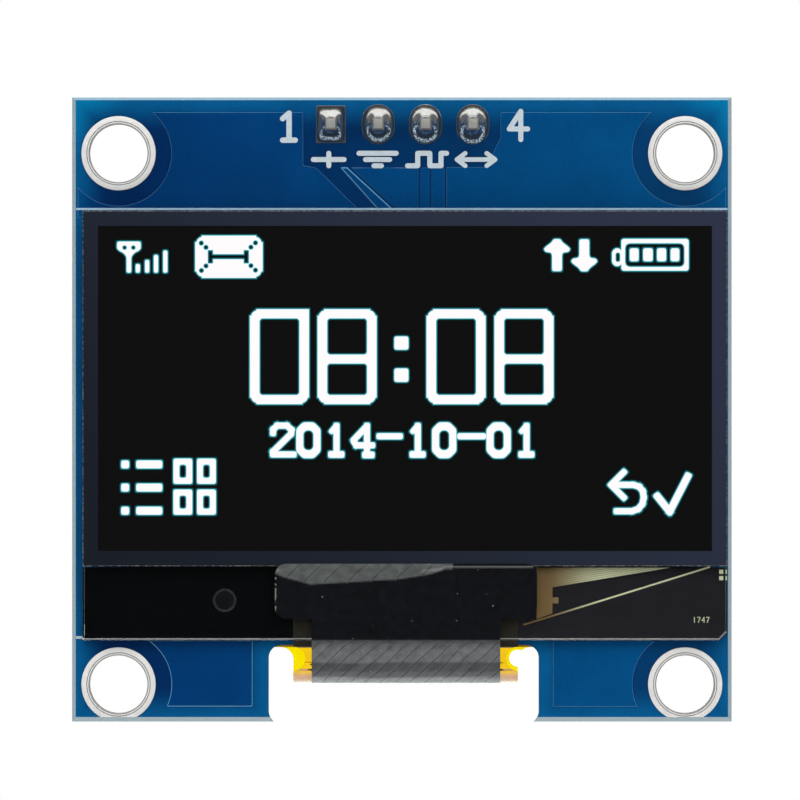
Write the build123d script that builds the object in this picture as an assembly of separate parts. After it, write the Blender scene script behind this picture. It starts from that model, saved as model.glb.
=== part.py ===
from build123d import *
import os

# A small OLED display module on a circuit board, in millimetres.
# Seen from the front (-Y) it is X across and Z up. The board's back face lies at Y = 0, and the
# origin is the centre of the four mounting holes on that face.

# Circuit board
BOARD_WIDTH = 35.4
BOARD_HEIGHT = 33.5
BOARD_THICKNESS = 1.2
HOLE_SIDE_MARGIN = 2.5
HOLE_TOP_MARGIN = 3.0
HOLE_BOTTOM_MARGIN = 2.0
SCORE_DEPTH = 0.35
SCORE_SIDE_WIDTH = 0.2
SCORE_TOP_WIDTH = 0.15
SCORE_BOTTOM_WIDTH = 0.25
NOTCH_WIDTH = 14.5
NOTCH_CORNER = 0.7
NOTCH_SIDE_SHIFT = 0.1
NOTCH_BELOW_GLASS = 0.28
NOTCH_PAST_EDGE = 0.15

# Plated mounting holes
HOLE_RADIUS = 1.55
HOLE_PLATING = 0.05
LAND_RADIUS = 2.0
LAND_THICKNESS = 0.08
HOLE_LIP = 0.06

# Pin header
PIN_COUNT = 4
PIN_PITCH = 2.54
PIN_SIDE = 0.64
PIN_POINT = 0.14
PIN_FRONT_REACH = 1.75
PIN_BACK_REACH = 6.0
PIN_TOP_MARGIN = 1.45
PIN_PLAY = 0.01
HOUSING_HEIGHT = 2.54
HOUSING_DEPTH = 2.5
HOUSING_NICK = 0.45
PIN_HOLE_RADIUS = 0.52
PIN_HOLE_PLATING = 0.05
PIN_LAND_THICKNESS = 0.05
FIRST_LAND_WIDTH = 1.58
FIRST_LAND_HEIGHT = 2.0
OVAL_LAND_WIDTH = 1.77
OVAL_LAND_HEIGHT = 2.15
FILLET_HEIGHT = 1.15
FILLET_LAND_SHARE = 0.97
FILLET_PIN_SKIN = 0.05
FILLET_RISES = [0, 0.15, 0.42, 1]
FILLET_HOLLOW = 2.6
FIRST_CORNER_SHARE = 0.2
OVAL_CORNER_SHARE = 0.47

# Display panel
PANEL_WIDTH = 34.5
PANEL_TOP_MARGIN = 6.1
PANEL_BOTTOM_MARGIN = 4.4
PANEL_SIDE_SHIFT = 0.165
FRONT_GLASS_THICKNESS = 0.7
GLASS_ARRIS = 0.09
GLASS_CORNER_CUT = 0.45
LAYER_THICKNESS = 0.05
LEDGE_HEIGHT = 3.96
SEAL_WIDTH = 0.8
CAP_THICKNESS = 0.5
CAP_INSET = 0.25
CAP_POCKET_DEPTH = 0.25
CAP_POCKET_WALL = 1.6
DRYING_SHEET_THICKNESS = 0.15
DRYING_SHEET_MARGIN = 1.2
POLARISER_THICKNESS = 0.2
POLARISER_ROUNDING = 0.08

# Foam strips behind the panel
FOAM_THICKNESS = 0.4
CAP_FOAM_HEIGHT = 3.0
CAP_FOAM_MARGIN = 0.8
LEDGE_FOAM_TOP = 0.1
LEDGE_FOAM_BOTTOM = 0.24
LEDGE_FOAM_SIDE = 0.22
LEDGE_FOAM_TO_FLEX = 0.45

# Driver chip and the metal leads behind the ledge
CHIP_WIDTH = 11.6
CHIP_HEIGHT = 1.1
CHIP_THICKNESS = 0.3
CHIP_DROP = 0.7
LEAD_THICKNESS = 0.02
LEAD_DROP = 0.08
FAN_WIDTH = 6.3
FAN_THROAT = 0.85
FAN_SHOULDER = 1.05
FAN_DEPTH = 2.45
FAN_SLOPE = 0.3
LONG_LEAD_WIDTH = 0.17
LONG_LEAD_DEPTH = 3.1
LONG_LEAD_END_MARGIN = 0.9
LONG_LEAD_TO_FLEX = 0.3
TEST_PAD = 0.32
MARK_SIDE = 0.22
MARK_PITCH = 0.34

# Flex cable
FLEX_WIDTH = 12.05
FLEX_SIDE_SHIFT = 0.2
FLEX_THICKNESS = 0.12
FLEX_BOND_HEIGHT = 1.4
FLEX_REACH = 2.27
TAIL_WIDTH = 20.0
TAIL_HEIGHT = 4.9
TAIL_BELOW_NOTCH = 0.14
TAIL_BLEND = 0.68
FRONT_BITE_RADIUS = 0.65
BACK_BITE_RADIUS = 0.46
BITE_RISE = 0.1

# Black tape over the ledge and round the fold
TAPE_THICKNESS = 0.06
TAPE_WIDTH = 10.1
TAPE_HEAD_WIDTH = 14.03
TAPE_SIDE_SHIFT = 0.22
TAPE_HEAD_HEIGHT = 2.95
TAPE_CORNER = 0.6
TAPE_LAP = 0.14
TAPE_RAMP = 0.4
TAPE_BEND = 0.12
TAPE_DROP = 1.0
TAPE_BACK_HEIGHT = 2.6

# Soldered contacts of the flex cable
CONTACT_COUNT = 30
CONTACT_PITCH = 0.62
CONTACT_WIDTH = 0.36
CONTACT_LENGTH = 1.9
CONTACT_SOLDER_HEIGHT = 0.12
CONTACT_CROWN = 0.7
CONTACT_TOP_MARGIN = 0.35

# Chip components on the back
CHIP_PART_LENGTH = 1.6
CHIP_PART_WIDTH = 0.8
CAPACITOR_HEIGHT = 0.8
RESISTOR_HEIGHT = 0.45
END_LENGTH = 0.32
END_SKIN = 0.03
PART_PAD_MARGIN = 0.12
PART_PAD_REACH = 0.35
PART_PAD_THICKNESS = 0.04
PART_SOLDER_SHARE = 0.6
FILLET_SAG = 0.4

# Moulded cases and their bent leads
CASE_STAND_OFF = 0.08
CASE_DRAFT = 7.0
LEAD_SHEET = 0.13
LEAD_FOOT = 0.3
LEAD_LEAN = 0.08
LEAD_BEND = 0.08
REGULATOR_WIDTH = 2.9
REGULATOR_DEPTH = 1.3
REGULATOR_HEIGHT = 1.0
REGULATOR_LEAD_WIDTH = 0.42
REGULATOR_SPAN = 2.5
REGULATOR_LEAD_PITCH = 0.95
DIODE_LENGTH = 1.75
DIODE_WIDTH = 1.25
DIODE_HEIGHT = 0.85
DIODE_LEAD_WIDTH = 0.32
DIODE_SPAN = 2.8

# Places of the back components, from the board's edges and from the flex cable's tail
UPPER_ROW_DROP = 8.05
LOWER_ROW_DROP = 15.05
REGULATOR_SIDE_MARGIN = 9.1
REGULATOR_CAPACITOR_STEP = 3.4
LEFT_SIDE_MARGIN = 6.3
PULL_UP_STEPS = [3.8, 5.8]
RESET_CAPACITOR_STEP = 3.0
DRIVER_PARTS_PITCH = 2.7
DRIVER_PARTS_RISE = 2.4
DRIVER_PARTS_STEPS = [-1.5, -0.5, 0.5, 1.5]

# Levels and edges that follow from the sizes above
HOLE_SPACING_X = BOARD_WIDTH - 2 * HOLE_SIDE_MARGIN
HOLE_SPACING_Z = BOARD_HEIGHT - HOLE_TOP_MARGIN - HOLE_BOTTOM_MARGIN
BOARD_TOP = HOLE_SPACING_Z / 2 + HOLE_TOP_MARGIN
BOARD_BOTTOM = BOARD_TOP - BOARD_HEIGHT
BOARD_FRONT = -BOARD_THICKNESS
PANEL_TOP = BOARD_TOP - PANEL_TOP_MARGIN
PANEL_BOTTOM = BOARD_BOTTOM + PANEL_BOTTOM_MARGIN
PANEL_RIGHT = PANEL_SIDE_SHIFT + PANEL_WIDTH / 2
LEDGE_TOP = PANEL_BOTTOM + LEDGE_HEIGHT
WINDOW_HEIGHT = PANEL_TOP - LEDGE_TOP
WINDOW_MIDDLE = (PANEL_TOP + LEDGE_TOP) / 2
CAP_BACK = BOARD_FRONT - FOAM_THICKNESS
CAP_FRONT = CAP_BACK - CAP_THICKNESS
GLASS_BACK = CAP_FRONT - LAYER_THICKNESS
GLASS_FRONT = GLASS_BACK - FRONT_GLASS_THICKNESS
POLARISER_FRONT = GLASS_FRONT - POLARISER_THICKNESS
NOTCH_TOP = PANEL_BOTTOM - NOTCH_BELOW_GLASS
PIN_ROW = BOARD_TOP - PIN_TOP_MARGIN
FLEX_BACK = PART_PAD_THICKNESS + FLEX_THICKNESS
FOLD_RADIUS = (FLEX_BACK - GLASS_BACK) / 2
FOLD_MIDDLE_Y = (FLEX_BACK + GLASS_BACK) / 2
FOLD_MIDDLE_Z = PANEL_BOTTOM - FLEX_REACH + FOLD_RADIUS
TAIL_BOTTOM = NOTCH_TOP - TAIL_BELOW_NOTCH
TAIL_TOP = TAIL_BOTTOM + TAIL_HEIGHT
REGULATOR_X = BOARD_WIDTH / 2 - REGULATOR_SIDE_MARGIN
LEFT_PARTS_X = LEFT_SIDE_MARGIN - BOARD_WIDTH / 2
UPPER_ROW = BOARD_TOP - UPPER_ROW_DROP
LOWER_ROW = BOARD_TOP - LOWER_ROW_DROP


def pin_places():
    """X of each header pin, from pin 1 on."""
    return [(index - (PIN_COUNT - 1) / 2) * PIN_PITCH for index in range(PIN_COUNT)]


def hole_places():
    """X and Z of each mounting hole: top left, top right, bottom left, bottom right."""
    half_x = HOLE_SPACING_X / 2
    half_z = HOLE_SPACING_Z / 2
    return [(-half_x, half_z), (half_x, half_z), (-half_x, -half_z), (half_x, -half_z)]


def plate(outline, back, thickness):
    """Push a front-view outline (X across, Z up) forwards from its back face."""
    return extrude(Plane.XZ.offset(-back) * outline, amount=thickness)


def ribbon(path, thickness, width, middle):
    """Give a path drawn in Y and Z a thickness, and push it out to its width along X."""
    section = Plane.YZ * trace(path, line_width=thickness)
    return Pos(middle, 0, 0) * extrude(section, amount=width / 2, both=True)


def land_outline(index):
    """Front view of a pin land: pin 1 has a rectangle, the others an oval."""
    if index == 0:
        return Rectangle(FIRST_LAND_WIDTH, FIRST_LAND_HEIGHT)
    return SlotOverall(OVAL_LAND_HEIGHT, OVAL_LAND_WIDTH, rotation=90)


def score_wedge(length, width):
    """The groove that a scoring wheel leaves along one edge of the back face, running along Z."""
    outline = Polyline((0, 0), (-width, 0), (0, -SCORE_DEPTH), close=True)
    return extrude(make_face(outline), amount=length / 2, both=True)


def score_cuts():
    """Both faces' grooves on all four sides of the board."""
    half_width = BOARD_WIDTH / 2
    middle_z = (BOARD_TOP + BOARD_BOTTOM) / 2
    sides = [
        (half_width, middle_z, 0, BOARD_HEIGHT, SCORE_SIDE_WIDTH),
        (0, BOARD_TOP, -90, BOARD_WIDTH, SCORE_TOP_WIDTH),
        (-half_width, middle_z, 180, BOARD_HEIGHT, SCORE_SIDE_WIDTH),
        (0, BOARD_BOTTOM, 90, BOARD_WIDTH, SCORE_BOTTOM_WIDTH),
    ]
    cuts = []
    for x, z, turn, length, width in sides:
        wedge = Rot(0, turn, 0) * score_wedge(length, width)
        cuts.append(Pos(x, 0, z) * wedge)
        cuts.append(Pos(x, BOARD_FRONT, z) * mirror(wedge, Plane.XZ))
    return cuts


def circuit_board():
    """Laminate with scored edges, mounting holes, pin holes and the routed notch."""
    notch_height = NOTCH_TOP - BOARD_BOTTOM + NOTCH_PAST_EDGE
    notch = RectangleRounded(NOTCH_WIDTH, notch_height, NOTCH_CORNER)
    notch_z = NOTCH_TOP - notch_height / 2
    outline = Pos(0, (BOARD_TOP + BOARD_BOTTOM) / 2) * Rectangle(BOARD_WIDTH, BOARD_HEIGHT)
    outline -= Pos(NOTCH_SIDE_SHIFT, notch_z) * notch
    for x, z in hole_places():
        outline -= Pos(x, z) * Circle(HOLE_RADIUS + HOLE_PLATING)
    for x in pin_places():
        outline -= Pos(x, PIN_ROW) * Circle(PIN_HOLE_RADIUS + PIN_HOLE_PLATING)
    board = plate(outline, 0, BOARD_THICKNESS)
    for cut in score_cuts():
        board -= cut
    return board


def hole_lining(x, z):
    """Tinned lining of a mounting hole, with a land on each face, trimmed at the board's edge."""
    half_thickness = BOARD_THICKNESS / 2
    lining = Cylinder(HOLE_RADIUS + HOLE_PLATING, BOARD_THICKNESS)
    land = Cylinder(LAND_RADIUS, LAND_THICKNESS)
    for side in (-1, 1):
        lining += Pos(0, 0, side * (half_thickness + LAND_THICKNESS / 2)) * land
    lining -= Cylinder(HOLE_RADIUS, BOARD_THICKNESS + 2 * LAND_THICKNESS)
    face_level = half_thickness + LAND_THICKNESS / 2
    lips = lining.edges().filter_by(lambda rim: abs(rim.center().Z) > face_level and rim.radius < LAND_RADIUS)
    lining = chamfer(lips, HOLE_LIP)
    placed = Pos(x, -half_thickness, z) * Rot(90, 0, 0) * lining
    trim_height = LAND_RADIUS
    trim_z = BOARD_BOTTOM + SCORE_BOTTOM_WIDTH - trim_height / 2
    trim_depth = 2 * (BOARD_THICKNESS + LAND_THICKNESS)
    return placed - Pos(x, -half_thickness, trim_z) * Box(2 * LAND_RADIUS, trim_depth, trim_height)


def header_pad(index, x):
    """Plated lining of a pin hole, with a land on each face."""
    hole = Circle(PIN_HOLE_RADIUS)
    lining = plate(Circle(PIN_HOLE_RADIUS + PIN_HOLE_PLATING) - hole, 0, BOARD_THICKNESS)
    land = land_outline(index) - hole
    lining += plate(land, BOARD_FRONT, PIN_LAND_THICKNESS)
    lining += plate(land, PIN_LAND_THICKNESS, PIN_LAND_THICKNESS)
    return Pos(x, 0, PIN_ROW) * lining


def header_solder(index, x):
    """Solder that fills the lining round the pin and climbs it in a hollow cone at the front."""
    land = land_outline(index).bounding_box().size
    pad_width = land.X * FILLET_LAND_SHARE
    pad_height = land.Y * FILLET_LAND_SHARE
    tip = PIN_SIDE + 2 * FILLET_PIN_SKIN
    foot = BOARD_FRONT - PIN_LAND_THICKNESS
    foot_corner = FIRST_CORNER_SHARE if index == 0 else OVAL_CORNER_SHARE
    sections = []
    for rise in FILLET_RISES:
        spread = (1 - rise) ** FILLET_HOLLOW
        width = tip + (pad_width - tip) * spread
        height = tip + (pad_height - tip) * spread
        corner = min(width, height) * (foot_corner + (FIRST_CORNER_SHARE - foot_corner) * rise)
        level = Plane.XZ.offset(-foot + rise * FILLET_HEIGHT)
        sections.append(level * RectangleRounded(width, height, corner))
    cone = loft(sections, ruled=True)
    fill = plate(Circle(PIN_HOLE_RADIUS), 0, BOARD_THICKNESS + PIN_LAND_THICKNESS)
    bore = Pos(0, foot, 0) * Box(PIN_SIDE, 4 * BOARD_THICKNESS, PIN_SIDE)
    return Pos(x, 0, PIN_ROW) * (cone + fill - bore)


def header_pin(x):
    """Square pin with tapered points, through the board and the housing."""
    length = PIN_FRONT_REACH + BOARD_THICKNESS + HOUSING_DEPTH + PIN_BACK_REACH
    pin = Box(PIN_SIDE, length, PIN_SIDE)
    ends = pin.faces().sort_by(Axis.Y)[0].edges() + pin.faces().sort_by(Axis.Y)[-1].edges()
    pin = chamfer(ends, PIN_POINT)
    middle = (BOARD_FRONT - PIN_FRONT_REACH + HOUSING_DEPTH + PIN_BACK_REACH) / 2
    return Pos(x, middle, PIN_ROW) * pin


def header_housing():
    """Moulded strip of one block to each pin, nicked where the strip snaps apart."""
    half_height = HOUSING_HEIGHT / 2
    cell = Rectangle(PIN_PITCH, HOUSING_HEIGHT)
    cell = chamfer(cell.vertices(), HOUSING_NICK)
    bore = Rectangle(PIN_SIDE + 2 * PIN_PLAY, PIN_SIDE + 2 * PIN_PLAY)
    outline = Sketch()
    for x in pin_places():
        outline += Pos(x, PIN_ROW) * cell
    web_width = PIN_PITCH * (PIN_COUNT - 1)
    outline += Pos(0, PIN_ROW) * Rectangle(web_width, 2 * (half_height - HOUSING_NICK))
    for x in pin_places():
        outline -= Pos(x, PIN_ROW) * bore
    return plate(outline, PIN_LAND_THICKNESS + HOUSING_DEPTH, HOUSING_DEPTH)


def panel_outline(inset, bottom):
    """Front view of a rectangle inside the panel's sides and top, down to the bottom level."""
    height = PANEL_TOP - inset - bottom
    return Pos(PANEL_SIDE_SHIFT, bottom + height / 2) * Rectangle(PANEL_WIDTH - 2 * inset, height)


def front_glass():
    """Sheet that carries the layers, with ground edges and one corner cut off."""
    outline = panel_outline(0, PANEL_BOTTOM)
    corner = outline.vertices().sort_by(lambda vertex: vertex.X - vertex.Y)[-1]
    glass = plate(chamfer(corner, GLASS_CORNER_CUT), GLASS_BACK, FRONT_GLASS_THICKNESS)
    rims = glass.faces().sort_by(Axis.Y)[0].edges() + glass.faces().sort_by(Axis.Y)[-1].edges()
    return chamfer(rims, GLASS_ARRIS)


def polariser_film():
    """Film on the glass above the ledge."""
    film = plate(panel_outline(0, LEDGE_TOP), GLASS_FRONT, POLARISER_THICKNESS)
    return fillet(film.faces().sort_by(Axis.Y)[0].edges(), POLARISER_ROUNDING)


def light_layer():
    """Light-emitting layer, as large as the black window."""
    return plate(panel_outline(SEAL_WIDTH, LEDGE_TOP + SEAL_WIDTH), CAP_FRONT, LAYER_THICKNESS)


def edge_seal():
    """Glue frame between the two glasses, round the light-emitting layer."""
    frame = panel_outline(CAP_INSET, LEDGE_TOP + CAP_INSET)
    frame -= panel_outline(SEAL_WIDTH, LEDGE_TOP + SEAL_WIDTH)
    return plate(frame, CAP_FRONT, LAYER_THICKNESS)


def cap_glass():
    """Rear glass with an etched pocket for the drying sheet."""
    cap = plate(panel_outline(CAP_INSET, LEDGE_TOP + CAP_INSET), CAP_BACK, CAP_THICKNESS)
    wall = CAP_INSET + CAP_POCKET_WALL
    pocket = panel_outline(wall, LEDGE_TOP + wall)
    return cap - plate(pocket, CAP_FRONT + CAP_POCKET_DEPTH, CAP_POCKET_DEPTH)


def drying_sheet():
    """Sheet that keeps the layers dry, stuck to the floor of the cap's pocket."""
    margin = CAP_INSET + CAP_POCKET_WALL + DRYING_SHEET_MARGIN
    sheet = panel_outline(margin, LEDGE_TOP + margin)
    return plate(sheet, CAP_FRONT + CAP_POCKET_DEPTH, DRYING_SHEET_THICKNESS)


def cap_foam(middle_z):
    """Double-sided foam strip between the board and the cap glass."""
    width = PANEL_WIDTH - 2 * (CAP_INSET + CAP_FOAM_MARGIN)
    strip = Pos(PANEL_SIDE_SHIFT, middle_z) * Rectangle(width, CAP_FOAM_HEIGHT)
    return plate(strip, BOARD_FRONT, FOAM_THICKNESS)


def ledge_foam(side):
    """Foam block between the board and the ledge, left or right of the flex cable."""
    outer = PANEL_SIDE_SHIFT + side * (PANEL_WIDTH / 2 - LEDGE_FOAM_SIDE)
    inner = FLEX_SIDE_SHIFT + side * (FLEX_WIDTH / 2 + LEDGE_FOAM_TO_FLEX)
    top = LEDGE_TOP - LEDGE_FOAM_TOP
    bottom = PANEL_BOTTOM + LEDGE_FOAM_BOTTOM
    outline = Pos((outer + inner) / 2, (top + bottom) / 2) * Rectangle(abs(outer - inner), top - bottom)
    return plate(outline, BOARD_FRONT, BOARD_FRONT - GLASS_BACK - LEAD_THICKNESS)


def driver_chip():
    """Bare driver chip, bonded face down behind the ledge."""
    place = Pos(FLEX_SIDE_SHIFT, LEDGE_TOP - CHIP_DROP - CHIP_HEIGHT / 2)
    return plate(place * Rectangle(CHIP_WIDTH, CHIP_HEIGHT), GLASS_BACK + CHIP_THICKNESS, CHIP_THICKNESS)


def panel_leads():
    """Metal leads behind the ledge: the fan to the chip, one long lead, a test pad and two marks."""
    top = LEDGE_TOP - LEAD_DROP
    left = FLEX_SIDE_SHIFT + TAPE_HEAD_WIDTH / 2
    throat = left + FAN_THROAT
    fan = Polyline(
        (left, top),
        (left + FAN_WIDTH + FAN_THROAT, top),
        (throat, top - FAN_SHOULDER),
        (throat, top - FAN_DEPTH),
        (left, top - FAN_DEPTH - FAN_SLOPE),
        close=True,
    )
    lead_start = FLEX_SIDE_SHIFT + FLEX_WIDTH / 2 + LONG_LEAD_TO_FLEX
    lead_end = PANEL_RIGHT - LONG_LEAD_END_MARGIN
    long_lead = Line((lead_start, top - LONG_LEAD_DEPTH), (lead_end, top))
    pad_place = Pos(throat + TEST_PAD / 2, top - (FAN_SHOULDER + FAN_DEPTH) / 2)
    leads = make_face(fan) + pad_place * Rectangle(TEST_PAD, TEST_PAD)
    leads += trace(long_lead, line_width=LONG_LEAD_WIDTH)
    for row in range(2):
        place = Pos(PANEL_RIGHT - GLASS_ARRIS - MARK_SIDE, top - MARK_SIDE - row * MARK_PITCH)
        leads += place * Rectangle(MARK_SIDE, MARK_SIDE)
    return plate(leads, GLASS_BACK + LEAD_THICKNESS, LEAD_THICKNESS)


def flex_cable():
    """Flex from its bond behind the ledge, round the fold, to the wide tail on the board's back."""
    front = GLASS_BACK + FLEX_THICKNESS / 2
    back = FLEX_BACK - FLEX_THICKNESS / 2
    radius = (back - front) / 2
    path = Line((front, PANEL_BOTTOM + FLEX_BOND_HEIGHT), (front, FOLD_MIDDLE_Z))
    path += CenterArc((FOLD_MIDDLE_Y, FOLD_MIDDLE_Z), radius, 180, 180)
    path += Line((back, FOLD_MIDDLE_Z), (back, TAIL_TOP))
    flex = ribbon(path, FLEX_THICKNESS, FLEX_WIDTH, FLEX_SIDE_SHIFT)
    flex += plate(tail_outline(), FLEX_BACK, FLEX_THICKNESS)
    bite_z = FOLD_MIDDLE_Z + BITE_RISE
    depth = FOLD_MIDDLE_Y - GLASS_BACK
    for side in (-1, 1):
        edge = FLEX_SIDE_SHIFT + side * FLEX_WIDTH / 2
        flex -= plate(Pos(edge, bite_z) * Circle(FRONT_BITE_RADIUS), FOLD_MIDDLE_Y, depth)
    right = FLEX_SIDE_SHIFT + FLEX_WIDTH / 2
    flex -= plate(Pos(right, bite_z) * Circle(BACK_BITE_RADIUS), FLEX_BACK, FLEX_BACK - FOLD_MIDDLE_Y)
    return flex


def tail_outline():
    """Wide end of the flex, blended into its neck by a hollow round on each side."""
    middle = Pos(FLEX_SIDE_SHIFT, (TAIL_TOP + TAIL_BOTTOM) / 2)
    outline = middle * RectangleRounded(TAIL_WIDTH, TAIL_HEIGHT, TAIL_BLEND)
    neck_width = FLEX_WIDTH + 2 * TAIL_BLEND
    neck_z = TAIL_BOTTOM - TAIL_BLEND / 2
    outline += Pos(FLEX_SIDE_SHIFT, neck_z) * Rectangle(neck_width, TAIL_BLEND)
    for side in (-1, 1):
        hollow_x = FLEX_SIDE_SHIFT + side * neck_width / 2
        outline -= Pos(hollow_x, TAIL_BOTTOM - TAIL_BLEND) * Circle(TAIL_BLEND)
    return outline


def tape_path():
    """Side view of the tape: over the film's edge, down the ledge and round the fold."""
    gap = TAPE_THICKNESS / 2
    film = POLARISER_FRONT - gap
    glass = GLASS_FRONT - gap
    flex = GLASS_BACK - gap
    bend_z = PANEL_BOTTOM + GLASS_ARRIS / 2
    back = FLEX_BACK + gap
    front_run = FilletPolyline(
        (film, LEDGE_TOP + TAPE_LAP),
        (film, LEDGE_TOP - TAPE_THICKNESS / 2),
        (glass, LEDGE_TOP - TAPE_RAMP),
        (glass, bend_z),
        (flex, bend_z - TAPE_DROP),
        (flex, FOLD_MIDDLE_Z),
        radius=[TAPE_THICKNESS, TAPE_BEND, TAPE_BEND, TAPE_BEND],
    )
    fold = CenterArc((FOLD_MIDDLE_Y, FOLD_MIDDLE_Z), FOLD_RADIUS + gap, 180, 180)
    back_run = Line((back, FOLD_MIDDLE_Z), (back, FOLD_MIDDLE_Z + TAPE_BACK_HEIGHT))
    return front_run + fold + back_run


def flex_tape():
    """Black tape with a wide head on the ledge and a narrower run round the fold."""
    path = tape_path()
    run = ribbon(path, TAPE_THICKNESS, TAPE_WIDTH, TAPE_SIDE_SHIFT)
    wide = ribbon(path, TAPE_THICKNESS, TAPE_HEAD_WIDTH, TAPE_SIDE_SHIFT)
    top = LEDGE_TOP + TAPE_LAP
    place = Pos(TAPE_SIDE_SHIFT, top - TAPE_HEAD_HEIGHT / 2)
    head = place * RectangleRounded(TAPE_HEAD_WIDTH, TAPE_HEAD_HEIGHT, TAPE_CORNER)
    depth = POLARISER_THICKNESS + FRONT_GLASS_THICKNESS
    return run + (wide & plate(head, GLASS_BACK, depth + TAPE_THICKNESS))


def contact_places():
    """X and Z of each soldered contact of the flex."""
    z = TAIL_TOP - CONTACT_TOP_MARGIN - CONTACT_LENGTH / 2
    first = FLEX_SIDE_SHIFT - CONTACT_PITCH * (CONTACT_COUNT - 1) / 2
    return [(first + index * CONTACT_PITCH, z) for index in range(CONTACT_COUNT)]


def contact_pads():
    """Board pads under the flex."""
    pad = plate(Rectangle(CONTACT_WIDTH, CONTACT_LENGTH), PART_PAD_THICKNESS, PART_PAD_THICKNESS)
    return [Pos(x, 0, z) * pad for x, z in contact_places()]


def contact_solder():
    """A low solder ridge on each contact of the flex."""
    foot = Rectangle(CONTACT_WIDTH, CONTACT_LENGTH)
    ridge = plate(foot, FLEX_BACK + CONTACT_SOLDER_HEIGHT, CONTACT_SOLDER_HEIGHT)
    crown = ridge.faces().sort_by(Axis.Y)[-1].edges()
    ridge = chamfer(crown, CONTACT_SOLDER_HEIGHT * CONTACT_CROWN)
    return [Pos(x, 0, z) * ridge for x, z in contact_places()]


def chip_body(height):
    """Ceramic body of a chip part, lying along X on the board's back."""
    body = Box(CHIP_PART_LENGTH - 2 * END_SKIN, height - 2 * END_SKIN, CHIP_PART_WIDTH - 2 * END_SKIN)
    return Pos(0, PART_PAD_THICKNESS + height / 2, 0) * body


def chip_ends(height):
    """The two metal caps of a chip part."""
    caps = Box(CHIP_PART_LENGTH, height, CHIP_PART_WIDTH)
    caps -= Box(CHIP_PART_LENGTH - 2 * END_LENGTH, height, CHIP_PART_WIDTH)
    return Pos(0, PART_PAD_THICKNESS + height / 2, 0) * caps - chip_body(height)


def foot_pad(inner, outer, width):
    """Board pad from one X to another."""
    middle = Pos((inner + outer) / 2, 0)
    return plate(middle * Rectangle(outer - inner, width), PART_PAD_THICKNESS, PART_PAD_THICKNESS)


def foot_solder(wall, reach, width, rise):
    """Hollow solder fillet on a pad, against the wall that it wets."""
    foot = (wall + reach, PART_PAD_THICKNESS)
    corner = (wall, PART_PAD_THICKNESS)
    top = (wall, PART_PAD_THICKNESS + rise)
    sag = (wall + reach * FILLET_SAG, PART_PAD_THICKNESS + rise * FILLET_SAG)
    profile = Polyline(foot, corner, top) + ThreePointArc(top, sag, foot)
    return extrude(make_face(profile), amount=width / 2, both=True)


def both_ends(shape):
    """A shape at the +X end and its mirror image at the -X end."""
    return [shape, mirror(shape, Plane.YZ)]


def chip_joints(height):
    """Pads and solder fillets at both ends of a chip part."""
    half = CHIP_PART_LENGTH / 2
    pad = foot_pad(half - END_LENGTH, half + PART_PAD_REACH, CHIP_PART_WIDTH + 2 * PART_PAD_MARGIN)
    solder = foot_solder(half, PART_PAD_REACH, CHIP_PART_WIDTH, height * PART_SOLDER_SHARE)
    return both_ends(pad), both_ends(solder)


def moulded_case(width, depth, height):
    """Moulded case with drafted sides, standing just off the board."""
    half = extrude(Plane.XZ * Rectangle(width, depth), amount=height / 2, taper=CASE_DRAFT)
    case = half + mirror(half, Plane.XZ)
    return Pos(0, case_level(height), 0) * case


def case_level(height):
    """Height of a moulded case's parting line above the board."""
    return PART_PAD_THICKNESS + CASE_STAND_OFF + height / 2


def gull_lead(span, width, level, wall):
    """One bent lead along +X: a flat foot on its pad, a rise, and a shoulder into the case wall."""
    tip = span / 2
    foot = PART_PAD_THICKNESS + LEAD_SHEET / 2
    path = FilletPolyline(
        (tip, foot),
        (tip - LEAD_FOOT, foot),
        (tip - LEAD_FOOT - LEAD_LEAN, level),
        (wall, level),
        radius=LEAD_BEND,
    )
    return extrude(trace(path, line_width=LEAD_SHEET), amount=width / 2, both=True)


def lead_joint(span, width):
    """Pad and solder toe of one bent lead along +X."""
    tip = span / 2
    pad = foot_pad(tip - LEAD_FOOT - PART_PAD_MARGIN, tip + PART_PAD_REACH, width + 2 * PART_PAD_MARGIN)
    return pad, foot_solder(tip, PART_PAD_REACH, width, LEAD_SHEET)


def regulator():
    """Case, leads, pads and solder of the three-legged regulator: two legs below, one above."""
    case = moulded_case(REGULATOR_WIDTH, REGULATOR_DEPTH, REGULATOR_HEIGHT)
    lead = gull_lead(REGULATOR_SPAN, REGULATOR_LEAD_WIDTH, case_level(REGULATOR_HEIGHT), REGULATOR_DEPTH / 2)
    pad, solder = lead_joint(REGULATOR_SPAN, REGULATOR_LEAD_WIDTH)
    places = [
        Pos(-REGULATOR_LEAD_PITCH, 0, 0) * Rot(0, 90, 0),
        Pos(REGULATOR_LEAD_PITCH, 0, 0) * Rot(0, 90, 0),
        Rot(0, -90, 0),
    ]
    leads = [place * lead for place in places]
    return case, leads, [place * pad for place in places], [place * solder for place in places]


def diode():
    """Case, leads, pads and solder of the two-legged diode along X."""
    case = moulded_case(DIODE_LENGTH, DIODE_WIDTH, DIODE_HEIGHT)
    lead = gull_lead(DIODE_SPAN, DIODE_LEAD_WIDTH, case_level(DIODE_HEIGHT), DIODE_LENGTH / 2)
    pad, solder = lead_joint(DIODE_SPAN, DIODE_LEAD_WIDTH)
    return case, both_ends(lead), both_ends(pad), both_ends(solder)


def seat(spot, upright):
    """Where a back component sits; upright turns its length from X to Z."""
    x, z = spot
    return Pos(x, 0, z) * Rot(0, 90 if upright else 0, 0)


def driver_row():
    """Places of the chip parts in the row above the flex cable's tail."""
    z = TAIL_TOP + DRIVER_PARTS_RISE
    return [(FLEX_SIDE_SHIFT + step * DRIVER_PARTS_PITCH, z) for step in DRIVER_PARTS_STEPS]


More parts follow.
